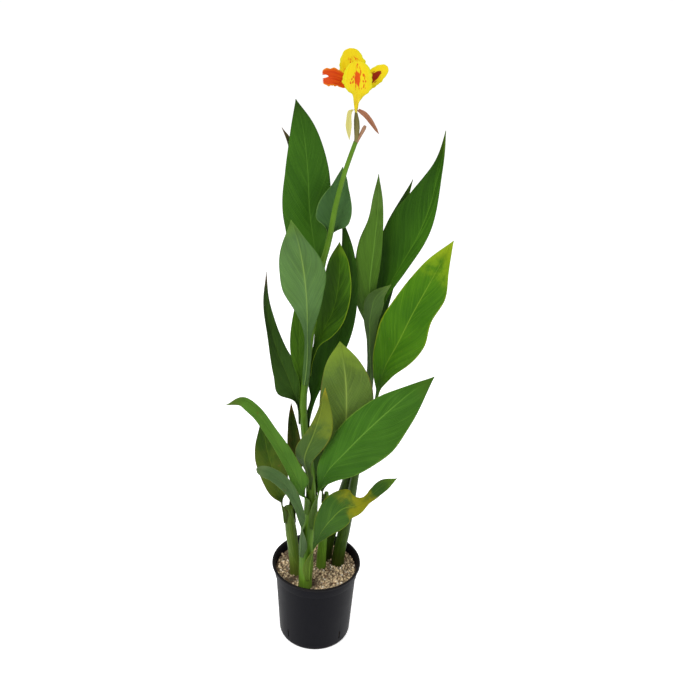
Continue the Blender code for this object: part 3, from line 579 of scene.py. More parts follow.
class Value:
    """One output of a shader node. Python sums on it add the Math nodes."""

    def __init__(self, finish, socket):
        self.finish = finish
        self.socket = socket

    def math(self, operation, *others):
        inputs = dict(enumerate((self, *others)))
        return self.finish.node("ShaderNodeMath", {"operation": operation}, inputs)

    def __add__(self, other):
        return self.math("ADD", other)

    def __sub__(self, other):
        return self.math("SUBTRACT", other)

    def __rsub__(self, other):
        return (self * -1) + other

    def __mul__(self, other):
        return self.math("MULTIPLY", other)

    def __truediv__(self, other):
        return self.math("DIVIDE", other)

    __radd__ = __add__
    __rmul__ = __mul__

    def size(self):
        return self.math("ABSOLUTE")

    def sine(self):
        return self.math("SINE")

    def cosine(self):
        return self.math("COSINE")

    def step(self, start, end):
        """0 below start and 1 above end, softly."""
        settings = {"interpolation_type": "SMOOTHSTEP"}
        inputs = {"Value": self, "From Min": start, "From Max": end, "To Min": 0.0, "To Max": 1.0}
        return self.finish.node("ShaderNodeMapRange", settings, inputs)


class Finish:
    """One procedural material and the nodes behind it."""

    def __init__(self, name, specular, roughness=0.5):
        self.material = bpy.data.materials.new(name)
        self.material.use_nodes = True
        self.tree = self.material.node_tree
        self.shader = self.tree.nodes["Principled BSDF"]
        self.shader.inputs["Roughness"].default_value = roughness
        self.shader.inputs["Specular IOR Level"].default_value = specular

    def node(self, kind, settings=None, inputs=None, output=0):
        made = self.tree.nodes.new(kind)
        for key, value in (settings or {}).items():
            setattr(made, key, value)
        for key, value in (inputs or {}).items():
            self.feed(made.inputs[key], value)
        return Value(self, made.outputs[output])

    def feed(self, socket, value):
        if isinstance(value, Value):
            self.tree.links.new(value.socket, socket)
        elif socket.type == "RGBA":
            socket.default_value = (*value, 1.0)
        else:
            socket.default_value = value

    def place(self):
        return self.node("ShaderNodeTexCoord", output="Object")

    def part(self, vector, number):
        """One number of a vector: 0 for X or U, 1 for Y or V, 2 for Z."""
        return self.node("ShaderNodeSeparateXYZ", inputs={0: vector}, output=number)

    def uv(self):
        """(U, V) of the piece's own map."""
        both = self.node("ShaderNodeUVMap")
        return self.part(both, 0), self.part(both, 1)

    def vector(self, x, y, z):
        return self.node("ShaderNodeCombineXYZ", inputs={0: x, 1: y, 2: z})

    def noise(self, vector, scale, detail, roughness=0.5):
        inputs = {"Vector": vector, "Scale": scale, "Detail": detail, "Roughness": roughness}
        return self.node("ShaderNodeTexNoise", inputs=inputs)

    def cells(self, vector, scale):
        """How far each point lies from the middle of its cell."""
        return self.node("ShaderNodeTexVoronoi", inputs={"Vector": vector, "Scale": scale})

    def mix(self, share, first, second):
        return self.node("ShaderNodeMix", {"data_type": "RGBA"}, {0: share, 6: first, 7: second}, output=2)

    def color(self, value):
        self.feed(self.shader.inputs["Base Color"], value)

    def roughness(self, value):
        self.feed(self.shader.inputs["Roughness"], value)

    def relief(self, height, distance, strength):
        inputs = {"Height": height, "Distance": distance, "Strength": strength}
        self.feed(self.shader.inputs["Normal"], self.node("ShaderNodeBump", inputs=inputs))


# Finishes

SCENE_LIGHT = 1.12
GAMMA = 2.2

# How many of each run across a leaf from its foot to its tip
VEIN_BANDS = 22
VEIN_STREAKS = 95
FINE_VEINS = 260
VEIN_RIDGES = 420 / (2 * math.pi)
WAX = (112, 142, 112)
BLEMISH = (104, 88, 36)
# Painted shade on one side of a leaf darkens it to this share of its shade colour.
PAINTED_SHADE_SHARE = 0.45


def seen(*color):
    """The colour of a surface that looks like this, on a scale to 255, under the studio's light."""
    return tuple((value / 255) ** GAMMA / SCENE_LIGHT for value in color)


def leaf_finish(
    name, face, shade, rib, edge, tip, wax=0.0, blemish=0.0, patch=None, dim=None, veins=1.0, rib_width=0.045,
    seed=0.0,
):
    """A leaf's face: fine veins that lean from the rib to the margin, a lighter rib, margin and tip."""
    made = Finish(name, specular=0.09)
    u, v = made.uv()
    signed = u * 2 - 1
    across = signed.size()
    along = v - across * 0.20 - across * across * 0.07
    place = made.place()
    broad = made.noise(place, 8.0, 2.0)
    band = made.noise(made.vector(along * VEIN_BANDS, signed * 0.8, seed), 1.0, 2.0, 0.6)
    streak = made.noise(made.vector(along * VEIN_STREAKS, signed * 1.6, seed + 2.0), 1.0, 2.0, 0.6)
    fine = made.noise(made.vector(along * FINE_VEINS, signed * 2.5, seed + 4.0), 1.0, 1.0)
    # Painted shade: broad noise and the vein bands mix the shade colour into the face.
    tone = (broad * 0.7 + band * 0.55 + streak * 0.45 * veins - 0.42).step(0.10, 0.85)
    color = made.mix(tone, shade, face)
    line = (streak * 0.65 + fine * 0.35).step(0.52, 0.70)
    color = made.mix(line * 0.22 * veins, color, rib)
    on_rib = 1 - across.step(rib_width * 0.4, rib_width)
    near_rib = 1 - across.step(rib_width, rib_width * 3.0)
    color = made.mix(near_rib * 0.15, color, rib)
    color = made.mix(on_rib * (1 - v.step(0.75, 1.0)) * 0.75, color, rib)
    ragged = across + (made.noise(place, 70.0, 2.0) - 0.5) * 0.06
    color = made.mix(ragged.step(0.95, 0.985) * 0.75, color, edge)
    toward_tip = (v + (broad - 0.5) * 0.12 + across * 0.03).step(0.90, 1.0)
    color = made.mix(toward_tip, color, tip)
    if wax:
        color = made.mix(made.noise(place, 16.0, 3.0) * wax, color, seen(*WAX))
    # A patch tints a place along the leaf another colour: real yellowing and browning on most leaves, and on
    # the yellow-tipped leaf also the painted glow of light through its tip.
    if patch:
        middle, reach, tint, strength = patch
        spread = 1 - (v - middle).size() / reach
        worn = spread + (made.noise(place, 36.0, 4.0, 0.65) - 0.5) * 1.8 + across * 0.45
        color = made.mix(worn.step(0.25, 1.10) * spread.step(0.0, 0.4) * strength, color, tint)
    # Painted shade: the side of the leaf that turns from the light is darkened.
    if dim:
        side, strength = dim
        painted_shade_mask = (signed * side + (broad - 0.5) * 0.3).step(-0.35, 0.65)
        color = made.mix(painted_shade_mask * strength, color, tuple(value * PAINTED_SHADE_SHARE for value in shade))
    if blemish:
        spots = made.noise(place, 60.0, 4.0, 0.7).step(0.68 - blemish * 0.10, 0.78 - blemish * 0.06)
        color = made.mix(spots * 0.6, color, seen(*BLEMISH))
    made.color(color)
    made.roughness(0.38 + broad * 0.16 + streak * 0.06)
    ridges = (along * (2 * math.pi * VEIN_RIDGES)).sine() * 0.3 + streak * 0.7 + fine * 0.3
    made.relief(ridges * (1 - on_rib) + made.noise(place, 240.0, 2.0) * 0.15, 0.0009, 0.75 * veins)
    return made.material


def shoot_finish(name, base, pale, foot):
    """A shoot's skin: fine lines along it, a pale foot and the pale edges of its sheaths."""
    made = Finish(name, specular=0.12)
    u, v = made.uv()
    place = made.place()
    lines = made.noise(made.vector(u * 34.0, v * 2.2, 3.0), 1.0, 3.0, 0.6)
    broad = made.noise(place, 14.0, 2.0)
    tone = (lines * 0.8 + broad * 0.7 - 0.3).step(0.15, 0.85)
    color = made.mix(tone, base, pale)
    low = 1 - made.part(place, 2).step(SOIL_TOP, SOIL_TOP + 0.075)
    color = made.mix(low * (0.45 + lines * 0.4), color, foot)
    margin = (u * (2 * math.pi * SHEATH_EDGES) + v * (2 * math.pi * SHEATH_SPIRAL) - 0.12).cosine()
    color = made.mix(margin.step(0.985, 0.998) * 0.5, color, pale)
    made.color(color)
    made.roughness(0.34 + broad * 0.18)
    made.relief(lines * 0.7 + made.noise(place, 190.0, 2.0) * 0.3, 0.0006, 0.5)
    return made.material


def pot_finish():
    """Black moulded plastic with fine grain and faint flow marks, dusty at its lip and its foot."""
    black = (0.0038, 0.0038, 0.0060)
    worn = (0.009, 0.009, 0.012)
    lip_dust = (0.030, 0.025, 0.020)
    foot_dust = (0.030, 0.026, 0.022)
    made = Finish("black_moulded_plastic", specular=0.055)
    place = made.place()
    dust = made.noise(place, 22.0, 4.0, 0.6)
    stretched = made.node("ShaderNodeVectorMath", {"operation": "MULTIPLY"}, {0: place, 1: (30, 30, 4)})
    flow = made.noise(stretched, 1.0, 2.0)
    color = made.mix(dust.step(0.45, 0.95) * 0.5, black, worn)
    height = made.part(place, 2)
    top = height.step(POT_HEIGHT - 0.008, POT_HEIGHT)
    color = made.mix(top * dust * 0.5, color, lip_dust)
    low = 1 - height.step(0.0, 0.012)
    color = made.mix(low * dust * 0.5, color, foot_dust)
    made.color(color)
    made.roughness(0.36 + dust * 0.18 + flow * 0.06)
    made.relief(made.noise(place, 900.0, 2.0) * 0.6 + flow * 0.4, 0.0003, 0.35)
    return made.material


def soil_finish():
    """Dark crumbs with scattered flecks of bark."""
    damp = (0.012, 0.008, 0.005)
    crumbs = (0.075, 0.048, 0.030)
    flecks = (0.16, 0.10, 0.06)
    made = Finish("potting_soil", specular=0.2, roughness=0.95)
    place = made.place()
    lumps = made.noise(place, 190.0, 4.0, 0.65)
    bark = made.cells(place, 120.0)
    color = made.mix(lumps.step(0.3, 0.75), damp, crumbs)
    color = made.mix(bark.step(0.0, 0.35) * 0.25, flecks, color)
    made.color(color)
    made.relief(lumps + bark * 0.3, 0.004, 1.0)
    return made.material


def grain_finish(name):
    """Grit: each grain carries its own colour, with specks and a rough face."""
    dark_specks = (0.10, 0.075, 0.055)
    made = Finish(name, specular=0.3, roughness=0.85)
    place = made.place()
    own = made.node("ShaderNodeAttribute", {"attribute_name": "grain_color"})
    specks = made.noise(place, 1400.0, 2.0)
    color = made.mix(specks.step(0.5, 0.75) * 0.35, own, dark_specks)
    made.color(color)
    made.relief(made.noise(place, 900.0, 3.0), 0.0006, 0.7)
    return made.material


def petal_finish(name, face, glow, spot, base, spots, patch=0.0, patch_place=0.45, seed=0.0, rim=None):
    """A petal: soft streaks from its foot, speckles that gather to its middle, and a blotch."""
    made = Finish(name, specular=0.12)
    u, v = made.uv()
    signed = u * 2 - 1
    place = made.place()
    streak = made.noise(made.vector(signed * 9.0, v * 1.2, seed), 1.0, 3.0, 0.6)
    color = made.mix(streak.step(0.3, 0.75), face, glow)
    color = made.mix((1 - v.step(0.0, 0.35)) * 0.6, color, base)
    if rim:
        color = made.mix(signed.size().step(0.75, 1.0) * 0.8, color, rim)
    wander = made.noise(made.vector(signed * 4.0, v * 5.0, seed + 4.0), 1.0, 2.0) - 0.5
    speckle_place = made.vector(signed * 6.5 + wander * 1.5, v * 10.0 + wander * 2.0, seed + 1.0)
    speckle = made.cells(speckle_place, 1.0)
    gate = made.noise(made.vector(signed * 2.6, v * 3.2, seed + 2.0), 1.0, 1.0)
    inside = 1 - ((signed * signed) * 1.5 + (v - patch_place) * (v - patch_place) * 9.0)
    dots = (1 - speckle.step(0.26, 0.42)) * (gate * 0.5 + inside * 0.75).step(0.95 - spots, 1.10 - spots)
    color = made.mix(dots * 0.9, color, spot)
    if patch:
        ragged = inside + wander * 0.5 + (streak - 0.5) * 0.25 - signed * signed * 1.5
        color = made.mix(ragged.step(1.02 - patch, 1.16 - patch), color, spot)
    made.color(color)
    made.roughness(0.40 + streak * 0.15)
    made.relief(streak * 0.8 + made.noise(place, 300.0, 2.0) * 0.2, 0.0007, 0.5)
    return made.material


def floor_finish():
    """A white studio floor that glows a little, so that it looks as white as the background."""
    made = Finish("white_floor", specular=0.1, roughness=0.9)
    made.color((0.92, 0.92, 0.92))
    made.feed(made.shader.inputs["Emission Color"], (1.0, 1.0, 1.0))
    made.feed(made.shader.inputs["Emission Strength"], 0.5)
    return made.material


# Leaves and petals as sheets


def frilled(grid, spread, frill, notch):
    """The same sheet with an uneven margin and its end split in lobes, with nothing outside the sheet."""
    rows = len(grid)
    v = np.linspace(0, 1, rows)
    down = v[:, None]
    centre = grid[:, len(spread) // 2][:, None]
    ragged = 0.5 + 0.25 * np.sin(down * 31 + spread * 2) + 0.25 * np.sin(down * 53 - spread * 3 + 1)
    grid = centre + (grid - centre) * (1 - frill * ragged * spread**2)[:, :, None]
    if notch:
        lobes = np.exp(-(((spread - 0.12) / 0.16) ** 2)) + 0.22 * np.cos(spread * 11) ** 2
        for j, cut in enumerate(0.02 + notch * lobes):
            place = np.linspace(0, 1 - cut, rows)
            grid[:, j] = np.column_stack([np.interp(place, v, grid[:, j, k]) for k in range(3)])
    return grid


def fine_sheet(name, spec, upper, under, rows, columns, thickness, frill=0.0, notch=0.0):
    """A leaf or petal as a fine sheet that is given its wall, its raised rib and its two faces."""
    spread = np.linspace(-1, 1, columns + 1)
    spread = np.sign(spread) * np.abs(spread) ** RIB_CROWDING
    grid, normal = blade_grid(spec, rows, spread)
    if frill:
        grid = frilled(grid, spread, frill, notch)
    rib = spec["rib"] * np.exp(-((spread / RIB_REACH) ** 2))
    fade = 1 - RIB_FADE * np.linspace(0, 1, rows)
    rise = fade[:, None] * rib[None, :]
    sheet = add_sheet(name, rows, columns + 1)
    put_points(sheet.data, grid - normal * rise[:, :, None] / 2)
    group = sheet.vertex_groups.new(name="thickness")
    most = thickness + float(rise.max())
    share = ((thickness + rise) / most).ravel()
    for index, value in enumerate(share):
        group.add([index], float(value), "REPLACE")
    sheet.data.materials.append(upper)
    sheet.data.materials.append(under)
    wall = sheet.modifiers.new("Wall", "SOLIDIFY")
    wall.thickness = most
    wall.offset = 0.0
    wall.vertex_group = "thickness"
    wall.material_offset = 1
    wall.material_offset_rim = 0
    wall.use_even_offset = False
    apply_all(sheet)
    sheet.vertex_groups.clear()
    sheet.data.shade_smooth()
    return sheet


# Looks of the leaves, with colours on a scale to 255 as they are seen

DRY = (104, 84, 58)
BROWN = (92, 74, 34)
# The underside's painted shade: its colour darkened by this share.
UNDER_SHADE = 0.78
SEED_STEP = 3.7


def leaf_looks(upper, shade, under, rib, edge, tip, **more):
    """The looks of a leaf's upper side and of its underside.

    Shade is painted shade: the colour of the upper side's shaded parts, which noise mixes into its face.
    A patch is a place tinted another colour: its place along the leaf, reach, tint and strength.
    The side given for painted shade says which side of the leaf is painted darker, as shade where it turns
    from the light, and how strongly.
    """
    more.update(rib=seen(*rib), edge=seen(*edge), tip=seen(*tip))
    under_shade = seen(*[value * UNDER_SHADE for value in under])
    top = dict(face=seen(*upper), shade=seen(*shade), **more)
    back = dict(face=seen(*under), shade=under_shade, veins=1.2, rib_width=0.06, **more)
    return top, back


LEAF_LOOKS = {
    # Upper face, the painted shade of the upper side, underside, rib, margin, tip. The side given for painted
    # shade darkens one side as shade.
    "stalk_leaf": leaf_looks(
        (64, 104, 42), (44, 78, 29), (75, 110, 51), (84, 118, 53), (96, 130, 53), (80, 112, 45), wax=0.25,
    ),
    "tall_left_leaf": leaf_looks(
        (64, 106, 27), (46, 84, 19), (84, 120, 48), (82, 124, 42), (60, 96, 29), (52, 84, 24),
        dim=(1, 0.15),
    ),
    "curled_back_leaf": leaf_looks(
        (50, 86, 24), (34, 60, 16), (70, 100, 40), (76, 112, 38), (50, 80, 24), DRY,
    ),
    "light_front_leaf": leaf_looks(
        (60, 100, 27), (44, 80, 19), (86, 124, 56), (118, 148, 66), (74, 114, 40), (98, 136, 46), wax=0.22,
        patch=(0.35, 0.20, seen(62, 94, 50), 0.40),
    ),
    "bright_edged_leaf": leaf_looks(
        (96, 146, 30), (50, 86, 15), (84, 120, 48), (104, 146, 45), (136, 166, 38), (110, 148, 35),
        dim=(-1, 0.6),
    ),
    "inner_right_leaf": leaf_looks(
        (62, 104, 24), (38, 72, 14), (60, 92, 32), (70, 106, 35), (56, 90, 24), (50, 80, 24), dim=(-1, 0.4),
    ),
    "left_strip_leaf": leaf_looks(
        (82, 122, 27), (50, 84, 18), (84, 120, 48), (100, 136, 48), (70, 104, 27), (70, 104, 27),
    ),
    "dark_left_leaf": leaf_looks(
        (60, 92, 24), (38, 62, 15), (60, 90, 32), (80, 110, 35), (58, 84, 22), DRY, wax=0.06, blemish=0.3,
        dim=(-1, 0.3),
    ),
    "upright_right_leaf": leaf_looks(
        (60, 100, 27), (44, 80, 19), (86, 126, 42), (96, 136, 50), (80, 112, 37), (66, 92, 29),
        patch=(1.00, 0.30, seen(100, 136, 60), 0.70),
    ),
    "high_right_leaf": leaf_looks(
        (76, 128, 28), (42, 80, 14), (84, 120, 48), (90, 136, 37), (76, 114, 27), (90, 116, 32),
        dim=(-1, 0.55),
    ),
    "behind_right_leaf": leaf_looks(
        (54, 90, 22), (34, 64, 14), (60, 92, 32), (70, 106, 35), (56, 84, 24), (66, 92, 29),
    ),
    "rolled_leaf": leaf_looks(
        (60, 98, 27), (44, 76, 19), (78, 108, 42), (92, 124, 52), (108, 138, 60), (100, 130, 52), wax=0.14,
    ),
    # The tip patch and the bright margin are partly real yellowing and partly painted light, the glow of
    # light through them.
    "yellow_tipped_leaf": leaf_looks(
        (80, 128, 21), (52, 96, 11), (94, 128, 48), (112, 150, 43), (134, 156, 27), (156, 168, 29),
        blemish=0.2, patch=(1.00, 0.25, seen(136, 166, 30), 0.70),
    ),
    "centre_leaf": leaf_looks(
        (60, 98, 27), (44, 76, 19), (88, 114, 36), (136, 158, 68), (96, 92, 34), (126, 152, 50), wax=0.1,
        blemish=0.5, patch=(1.00, 0.24, seen(122, 150, 46), 0.45),
    ),
    "twisted_leaf": leaf_looks(
        (60, 98, 27), (44, 76, 19), (74, 104, 32), (110, 132, 46), (136, 136, 34), (196, 170, 36), wax=0.15,
        blemish=0.4, patch=(0.84, 0.34, seen(128, 142, 40), 0.60),
    ),
    "wide_right_leaf": leaf_looks(
        (66, 112, 24), (46, 86, 12), (94, 128, 48), (104, 148, 52), (104, 142, 46), (70, 106, 28), wax=0.04,
        blemish=0.1, dim=(1, 0.2),
    ),
    "arching_left_leaf": leaf_looks(
        (88, 130, 36), (62, 102, 27), (94, 128, 48), (100, 138, 51), (110, 144, 56), (90, 114, 38),
        wax=0.08, blemish=0.2,
    ),
    "hanging_left_leaf": leaf_looks(
        (70, 100, 24), (46, 74, 16), (66, 88, 29), (92, 118, 37), BROWN, BROWN, blemish=0.5,
        patch=(0.45, 0.40, seen(104, 112, 30), 0.35),
    ),
    "small_blue_leaf": leaf_looks(
        (84, 112, 56), (62, 90, 42), (84, 110, 61), (98, 124, 69), (104, 126, 67), (96, 116, 66), wax=0.25,
        blemish=0.4,
    ),
    "brown_edged_leaf": leaf_looks(
        (62, 84, 22), (42, 60, 14), (80, 92, 32), (90, 108, 37), BROWN, BROWN, blemish=0.6,
        patch=(0.50, 0.40, seen(96, 88, 26), 0.50),
    ),
    "inner_front_leaf": leaf_looks(
        (54, 84, 21), (36, 60, 14), (60, 88, 29), (78, 106, 35), BROWN, BROWN, blemish=0.5,
    ),
    "low_right_leaf": leaf_looks(
        (62, 98, 30), (46, 78, 24), (96, 124, 40), (112, 144, 51), (120, 134, 26), (92, 128, 34), wax=0.02,
        blemish=0.5, patch=(0.74, 0.13, seen(150, 146, 18), 0.70),
    ),
}


def build_leaves():
    for number, (name, spec) in enumerate(LEAVES.items()):
        seed = number * SEED_STEP
        top, back = LEAF_LOOKS[name]
        upper = leaf_finish(name + "_face", seed=seed, **top)
        under = leaf_finish(name + "_back", seed=seed + 1, **back)
        sheet = fine_sheet(name + "_fine", spec, upper, under, LEAF_ROWS, LEAF_COLUMNS, LEAF_THICKNESS)
        dress(sheet, name, name + "_surface")


# Shoots


FULL_TURN = np.linspace(0, 2 * np.pi, SHOOT_SIDES + 1)
SEAM_GAP = 0.000002

# Radii of the fine tubes as a share of the solids' radii, so that they stay inside them
SHOOT_INSET = 0.99
STUB_INSET = 0.93
FLORAL_TUBE_INSET = 0.96


def fine_tube(name, line, radii, skin):
    """A closed round body along a line, with U round it and V along it. Radii has a row for each ring."""
    along = unit(np.gradient(line, axis=0))
    across = unit(np.cross((0, 1, 0), along))
    back = np.cross(along, across)
    ring = across[:, None] * np.cos(FULL_TURN)[:, None] + back[:, None] * np.sin(FULL_TURN)[:, None]
    radii[:, -1] = radii[:, 0]
    tube = add_sheet(name, len(line), SHOOT_SIDES + 1)
    put_points(tube.data, line[:, None] + ring * radii[:, :, None])
    edit_all(tube)
    bpy.ops.mesh.remove_doubles(threshold=SEAM_GAP)
    bpy.ops.mesh.select_all(action="DESELECT")
    bpy.ops.mesh.select_non_manifold()
    bpy.ops.mesh.fill_holes(sides=0)
    bpy.ops.object.mode_set(mode="OBJECT")
    finish_mesh(tube, angle=50)
    tube.data.materials.append(skin)
    return tube


def build_shoots():
    """The shoots, each with the steps of its wrapped sheaths winding up it."""
    green = shoot_finish("shoot_skin", seen(56, 90, 18), seen(106, 144, 44), seen(112, 146, 52))
    light = shoot_finish("left_shoot_skin", seen(56, 82, 20), seen(98, 118, 44), seen(98, 106, 46))
    olive = shoot_finish("olive_shoot_skin", seen(38, 60, 12), seen(70, 94, 26), seen(58, 62, 24))
    skins = {"flowering_shoot": green, "middle_shoot": green, "left_shoot": light}
    for name, shoot in SHOOTS.items():
        rows = TALL_SHOOT_ROWS if shoot is FLOWERING else SHOOT_ROWS
        coarse = np.linspace(0, 1, len(shoot.line))
        fine = np.linspace(0, 1, rows)
        line = np.column_stack([np.interp(fine, coarse, shoot.line[:, k]) for k in range(3)])
        radius = np.interp(fine, coarse, shoot.radii)
        chance = np.random.default_rng(len(name))
        rough = 1 + SHOOT_RIPPLE * np.sin(FULL_TURN * 7 + chance.uniform(0, 6))
        rough = rough + SHOOT_RIPPLE * np.sin(FULL_TURN * 3)
        turned = (FULL_TURN / (2 * np.pi) * SHEATH_EDGES + fine[:, None] * SHEATH_SPIRAL) % 1
        radii = radius[:, None] * rough * (1 - SHEATH_STEP * turned) * SHOOT_INSET
        dress(fine_tube(name + "_fine", line, radii, skins.get(name, olive)), name, "shoot_green")


def build_seed_head():
    """The ovary under the bloom and the spent flower's stub, both on the flowering shoot."""
    skins = {
        "ovary": shoot_finish("ovary_skin", seen(72, 90, 42), seen(148, 130, 84), seen(98, 110, 44)),
        "spent_flower": shoot_finish("spent_skin", seen(120, 78, 60), seen(176, 140, 110), seen(98, 80, 60)),
    }
    rows = 60
    share = np.linspace(0, 1, rows)
    bumps = 1 + 0.07 * np.sin(FULL_TURN * 9) * np.sin(share[:, None] * 60)
    for name, (route, places, radii) in STALK_ENDS.items():
        line = smooth_route(FLOWERING.line[-1] + np.array(route), rows)
        radius = np.interp(share, places, radii) * STUB_INSET
        dress(fine_tube(name, line, radius[:, None] * bumps, skins[name]), "flowering_shoot", "shoot_green")


# Bloom


def petal_sheet(name, spec, upper, under, rows=PETAL_ROWS, columns=PETAL_COLUMNS, **margin):
    """A petal or sepal as a fine sheet. Margin gives its frill and notch."""
    return fine_sheet(name, spec, upper, under, rows, columns, PETAL_THICKNESS, **margin)


def build_floral_tube(skin):
    rows = 24
    line = smooth_route(np.array(BLOOM_BASE) + np.array(FLORAL_TUBE), rows)
    places = np.linspace(0, 1, len(FLORAL_TUBE))
    radius = np.interp(np.linspace(0, 1, rows), places, FLORAL_TUBE_RADII) * FLORAL_TUBE_INSET
    radii = np.repeat(radius[:, None], SHOOT_SIDES + 1, axis=1)
    dress(fine_tube("floral_tube_fine", line, radii, skin), "yellow_bloom", "petal_yellow")


def build_bloom():
    yellow = seen(212, 184, 16)
    glow = seen(216, 198, 28)
    lime = seen(196, 196, 30)
    red = seen(200, 76, 12)
    crimson = seen(132, 36, 8)
    looks = {
        "top": petal_finish(
            "top_petal", yellow, glow, red, glow, spots=0.64, patch_place=0.56, seed=1.0, rim=lime,
        ),
        "lip": petal_finish(
            "lip_petal", yellow, glow, red, seen(222, 188, 56), spots=0.62, patch=0.30, patch_place=0.66,
            seed=5.0, rim=lime,
        ),
        "right": petal_finish(
            "right_petal", yellow, glow, crimson, glow, spots=0.62, patch=0.80, patch_place=0.56, seed=9.0,
            rim=lime,
        ),
    }
    back = petal_finish("petal_back", yellow, glow, seen(214, 120, 20), glow, spots=0.2, seed=2.0)
    for name, spec in PETALS.items():
        sheet = petal_sheet(name + "_petal", spec, looks[name], back, frill=0.10)
        dress(sheet, "yellow_bloom", "petal_yellow")
    build_floral_tube(petal_finish("tube_skin", yellow, glow, red, (0.6, 0.55, 0.12), spots=0.0))

    orange = petal_finish(
        "orange_petal_face", seen(176, 44, 8), seen(206, 84, 14), seen(140, 34, 8), seen(206, 96, 18),
        spots=0.35, seed=3.0, rim=seen(206, 130, 24),
    )
    sheet = petal_sheet("orange_petal_fine", ORANGE_PETAL, orange, orange, frill=0.16, notch=0.15)
    dress(sheet, "orange_petal", "petal_orange")
    for name, face, streak, slot in (
        ("red_sepal", seen(124, 74, 54), seen(166, 122, 92), "sepal_red"),
        ("pale_sepal", seen(176, 170, 90), seen(204, 196, 130), "sepal_pale"),
    ):
        skin = petal_finish(name + "_skin", face, streak, face, face, spots=0.0, seed=6.0)
        dress(petal_sheet(name + "_fine", SEPALS[name], skin, skin, rows=36, columns=14), name, slot)


# Pot and filling


def build_pot():
    """The pot, turned from its outline with a rolled lip, and its four slits cut through."""
    top = POT_HEIGHT
    band = top - COLLAR_DEPTH
    inner_radius = 0.010
    profile = [
        (inner_radius, 0), (FOOT_RADIUS, 0), (FOOT_RADIUS + 0.003, 0.0005), (FOOT_RADIUS + 0.0055, 0.0022),
        (WALL_FOOT_RADIUS - 0.0006, 0.0055), (WALL_FOOT_RADIUS, 0.0095),
        (WALL_TOP_RADIUS, band - 0.0018), (COLLAR_RADIUS - 0.0004, band - 0.0003),
        (COLLAR_RADIUS, band + 0.001), (COLLAR_RADIUS + 0.0006, top - 0.0096),
        (LIP_RADIUS - 0.0040, top - 0.0082), (LIP_RADIUS - 0.0012, top - 0.0064),
        (LIP_RADIUS - 0.0003, top - 0.0040),
        (LIP_RADIUS - 0.0006, top - 0.0018), (LIP_RADIUS - 0.0016, top - 0.0005), (LIP_RADIUS - 0.0030, top),
        (LIP_RADIUS - 0.0052, top - 0.0006), (LIP_RADIUS - 0.0068, top - 0.0024),
        (COLLAR_RADIUS + 0.0006 - WALL, top - 0.0092),
        (COLLAR_RADIUS - WALL, band + 0.0005), (WALL_TOP_RADIUS - WALL, band - 0.0018),
        (WALL_FOOT_RADIUS - WALL, 0.0090), (FOOT_RADIUS - 0.004, WALL), (inner_radius, WALL),
    ]
    pot = lathe("pot_fine", profile, sides=POT_SIDES)
    radius = WALL_FOOT_RADIUS + 0.0004
    for number, angle in enumerate(SLIT_ANGLES):
        turn = math.radians(angle)
        place = (radius * math.cos(turn), radius * math.sin(turn), SLIT_CENTRE)
        deselect()
        bpy.ops.mesh.primitive_cube_add(size=1.0, location=place, rotation=(0, 0, turn))
        block = bpy.context.object
        block.scale = SLIT_SIZE
        settle(block)
        hole = pot.modifiers.new(f"Slit{number}", "BOOLEAN")
        hole.operation = "DIFFERENCE"
        hole.object = block
        apply_all(pot)
        bpy.data.objects.remove(block, do_unlink=True)
    finish_mesh(pot, angle=35)
    pot.data.materials.append(pot_finish())
    dress(pot, "pot", "pot_plastic")


def stem_distance(x, y, height):
    """How far a point on the filling lies from the nearest shoot's skin."""
    near = 1.0
    for shoot in SHOOTS.values():
        centre, radius = shoot.at(height)
        near = min(near, math.hypot(x - centre[0], y - centre[1]) - radius)
    return near


BARE_AND_SHADED_PLACES = [
    # middle X, reach, middle Y, reach of the places where the soil shows and where painted shade falls
    # between the stems
    (-0.060, 0.030, 0.045, 0.026),
    (0.004, 0.016, 0.034, 0.018),
    (-0.002, 0.010, -0.060, 0.016),
    (-0.060, 0.014, -0.050, 0.012),
]
BED_RISE = 0.0006  # from the top of the soil up to the underside of the bed of grit
BED_DROP = 0.0045  # from the top of the grit down to the top of its bed
GRAIN_DROP = 0.0042  # from the top of the grit down to the middle of the first layer
LAYER_RISE = 0.0028
GRAIN_SPACING = 0.0052
ROW_SHARE = 0.87  # distance between rows of grains as a share of their spacing
WALL_CLEARANCE = 0.002
STEM_CLEARANCE = 0.001
TAN_GRIT = (0.50, 0.385, 0.235)
BROWN_GRIT = (0.22, 0.14, 0.08)
PALE_GRIT = (0.66, 0.58, 0.46)


def bare_and_shaded(x, y):
    """0 where grit covers the soil, up to 1 where the soil shows and where painted shade falls between the
    stems.
    """
    return min(1.0, sum(math.exp(-(((x - a) / b) ** 2 + ((y - c) / d) ** 2)) for a, b, c, d in BARE_AND_SHADED_PLACES))


def grit_color(warm):
    """Most grains are tan, fewer are brown and a few are pale."""
    if warm < 0.78:
        return TAN_GRIT
    return PALE_GRIT if warm > 0.93 else BROWN_GRIT


def grain_shape():
    """The points and faces of one round grain."""
    deselect()
    bpy.ops.mesh.primitive_ico_sphere_add(subdivisions=1, radius=1.0)
    grain = bpy.context.object
    shape = np.array([tuple(point.co) for point in grain.data.vertices])
    faces = np.array([tuple(face.vertices) for face in grain.data.polygons])
    bpy.data.objects.remove(grain, do_unlink=True)
    return shape, faces


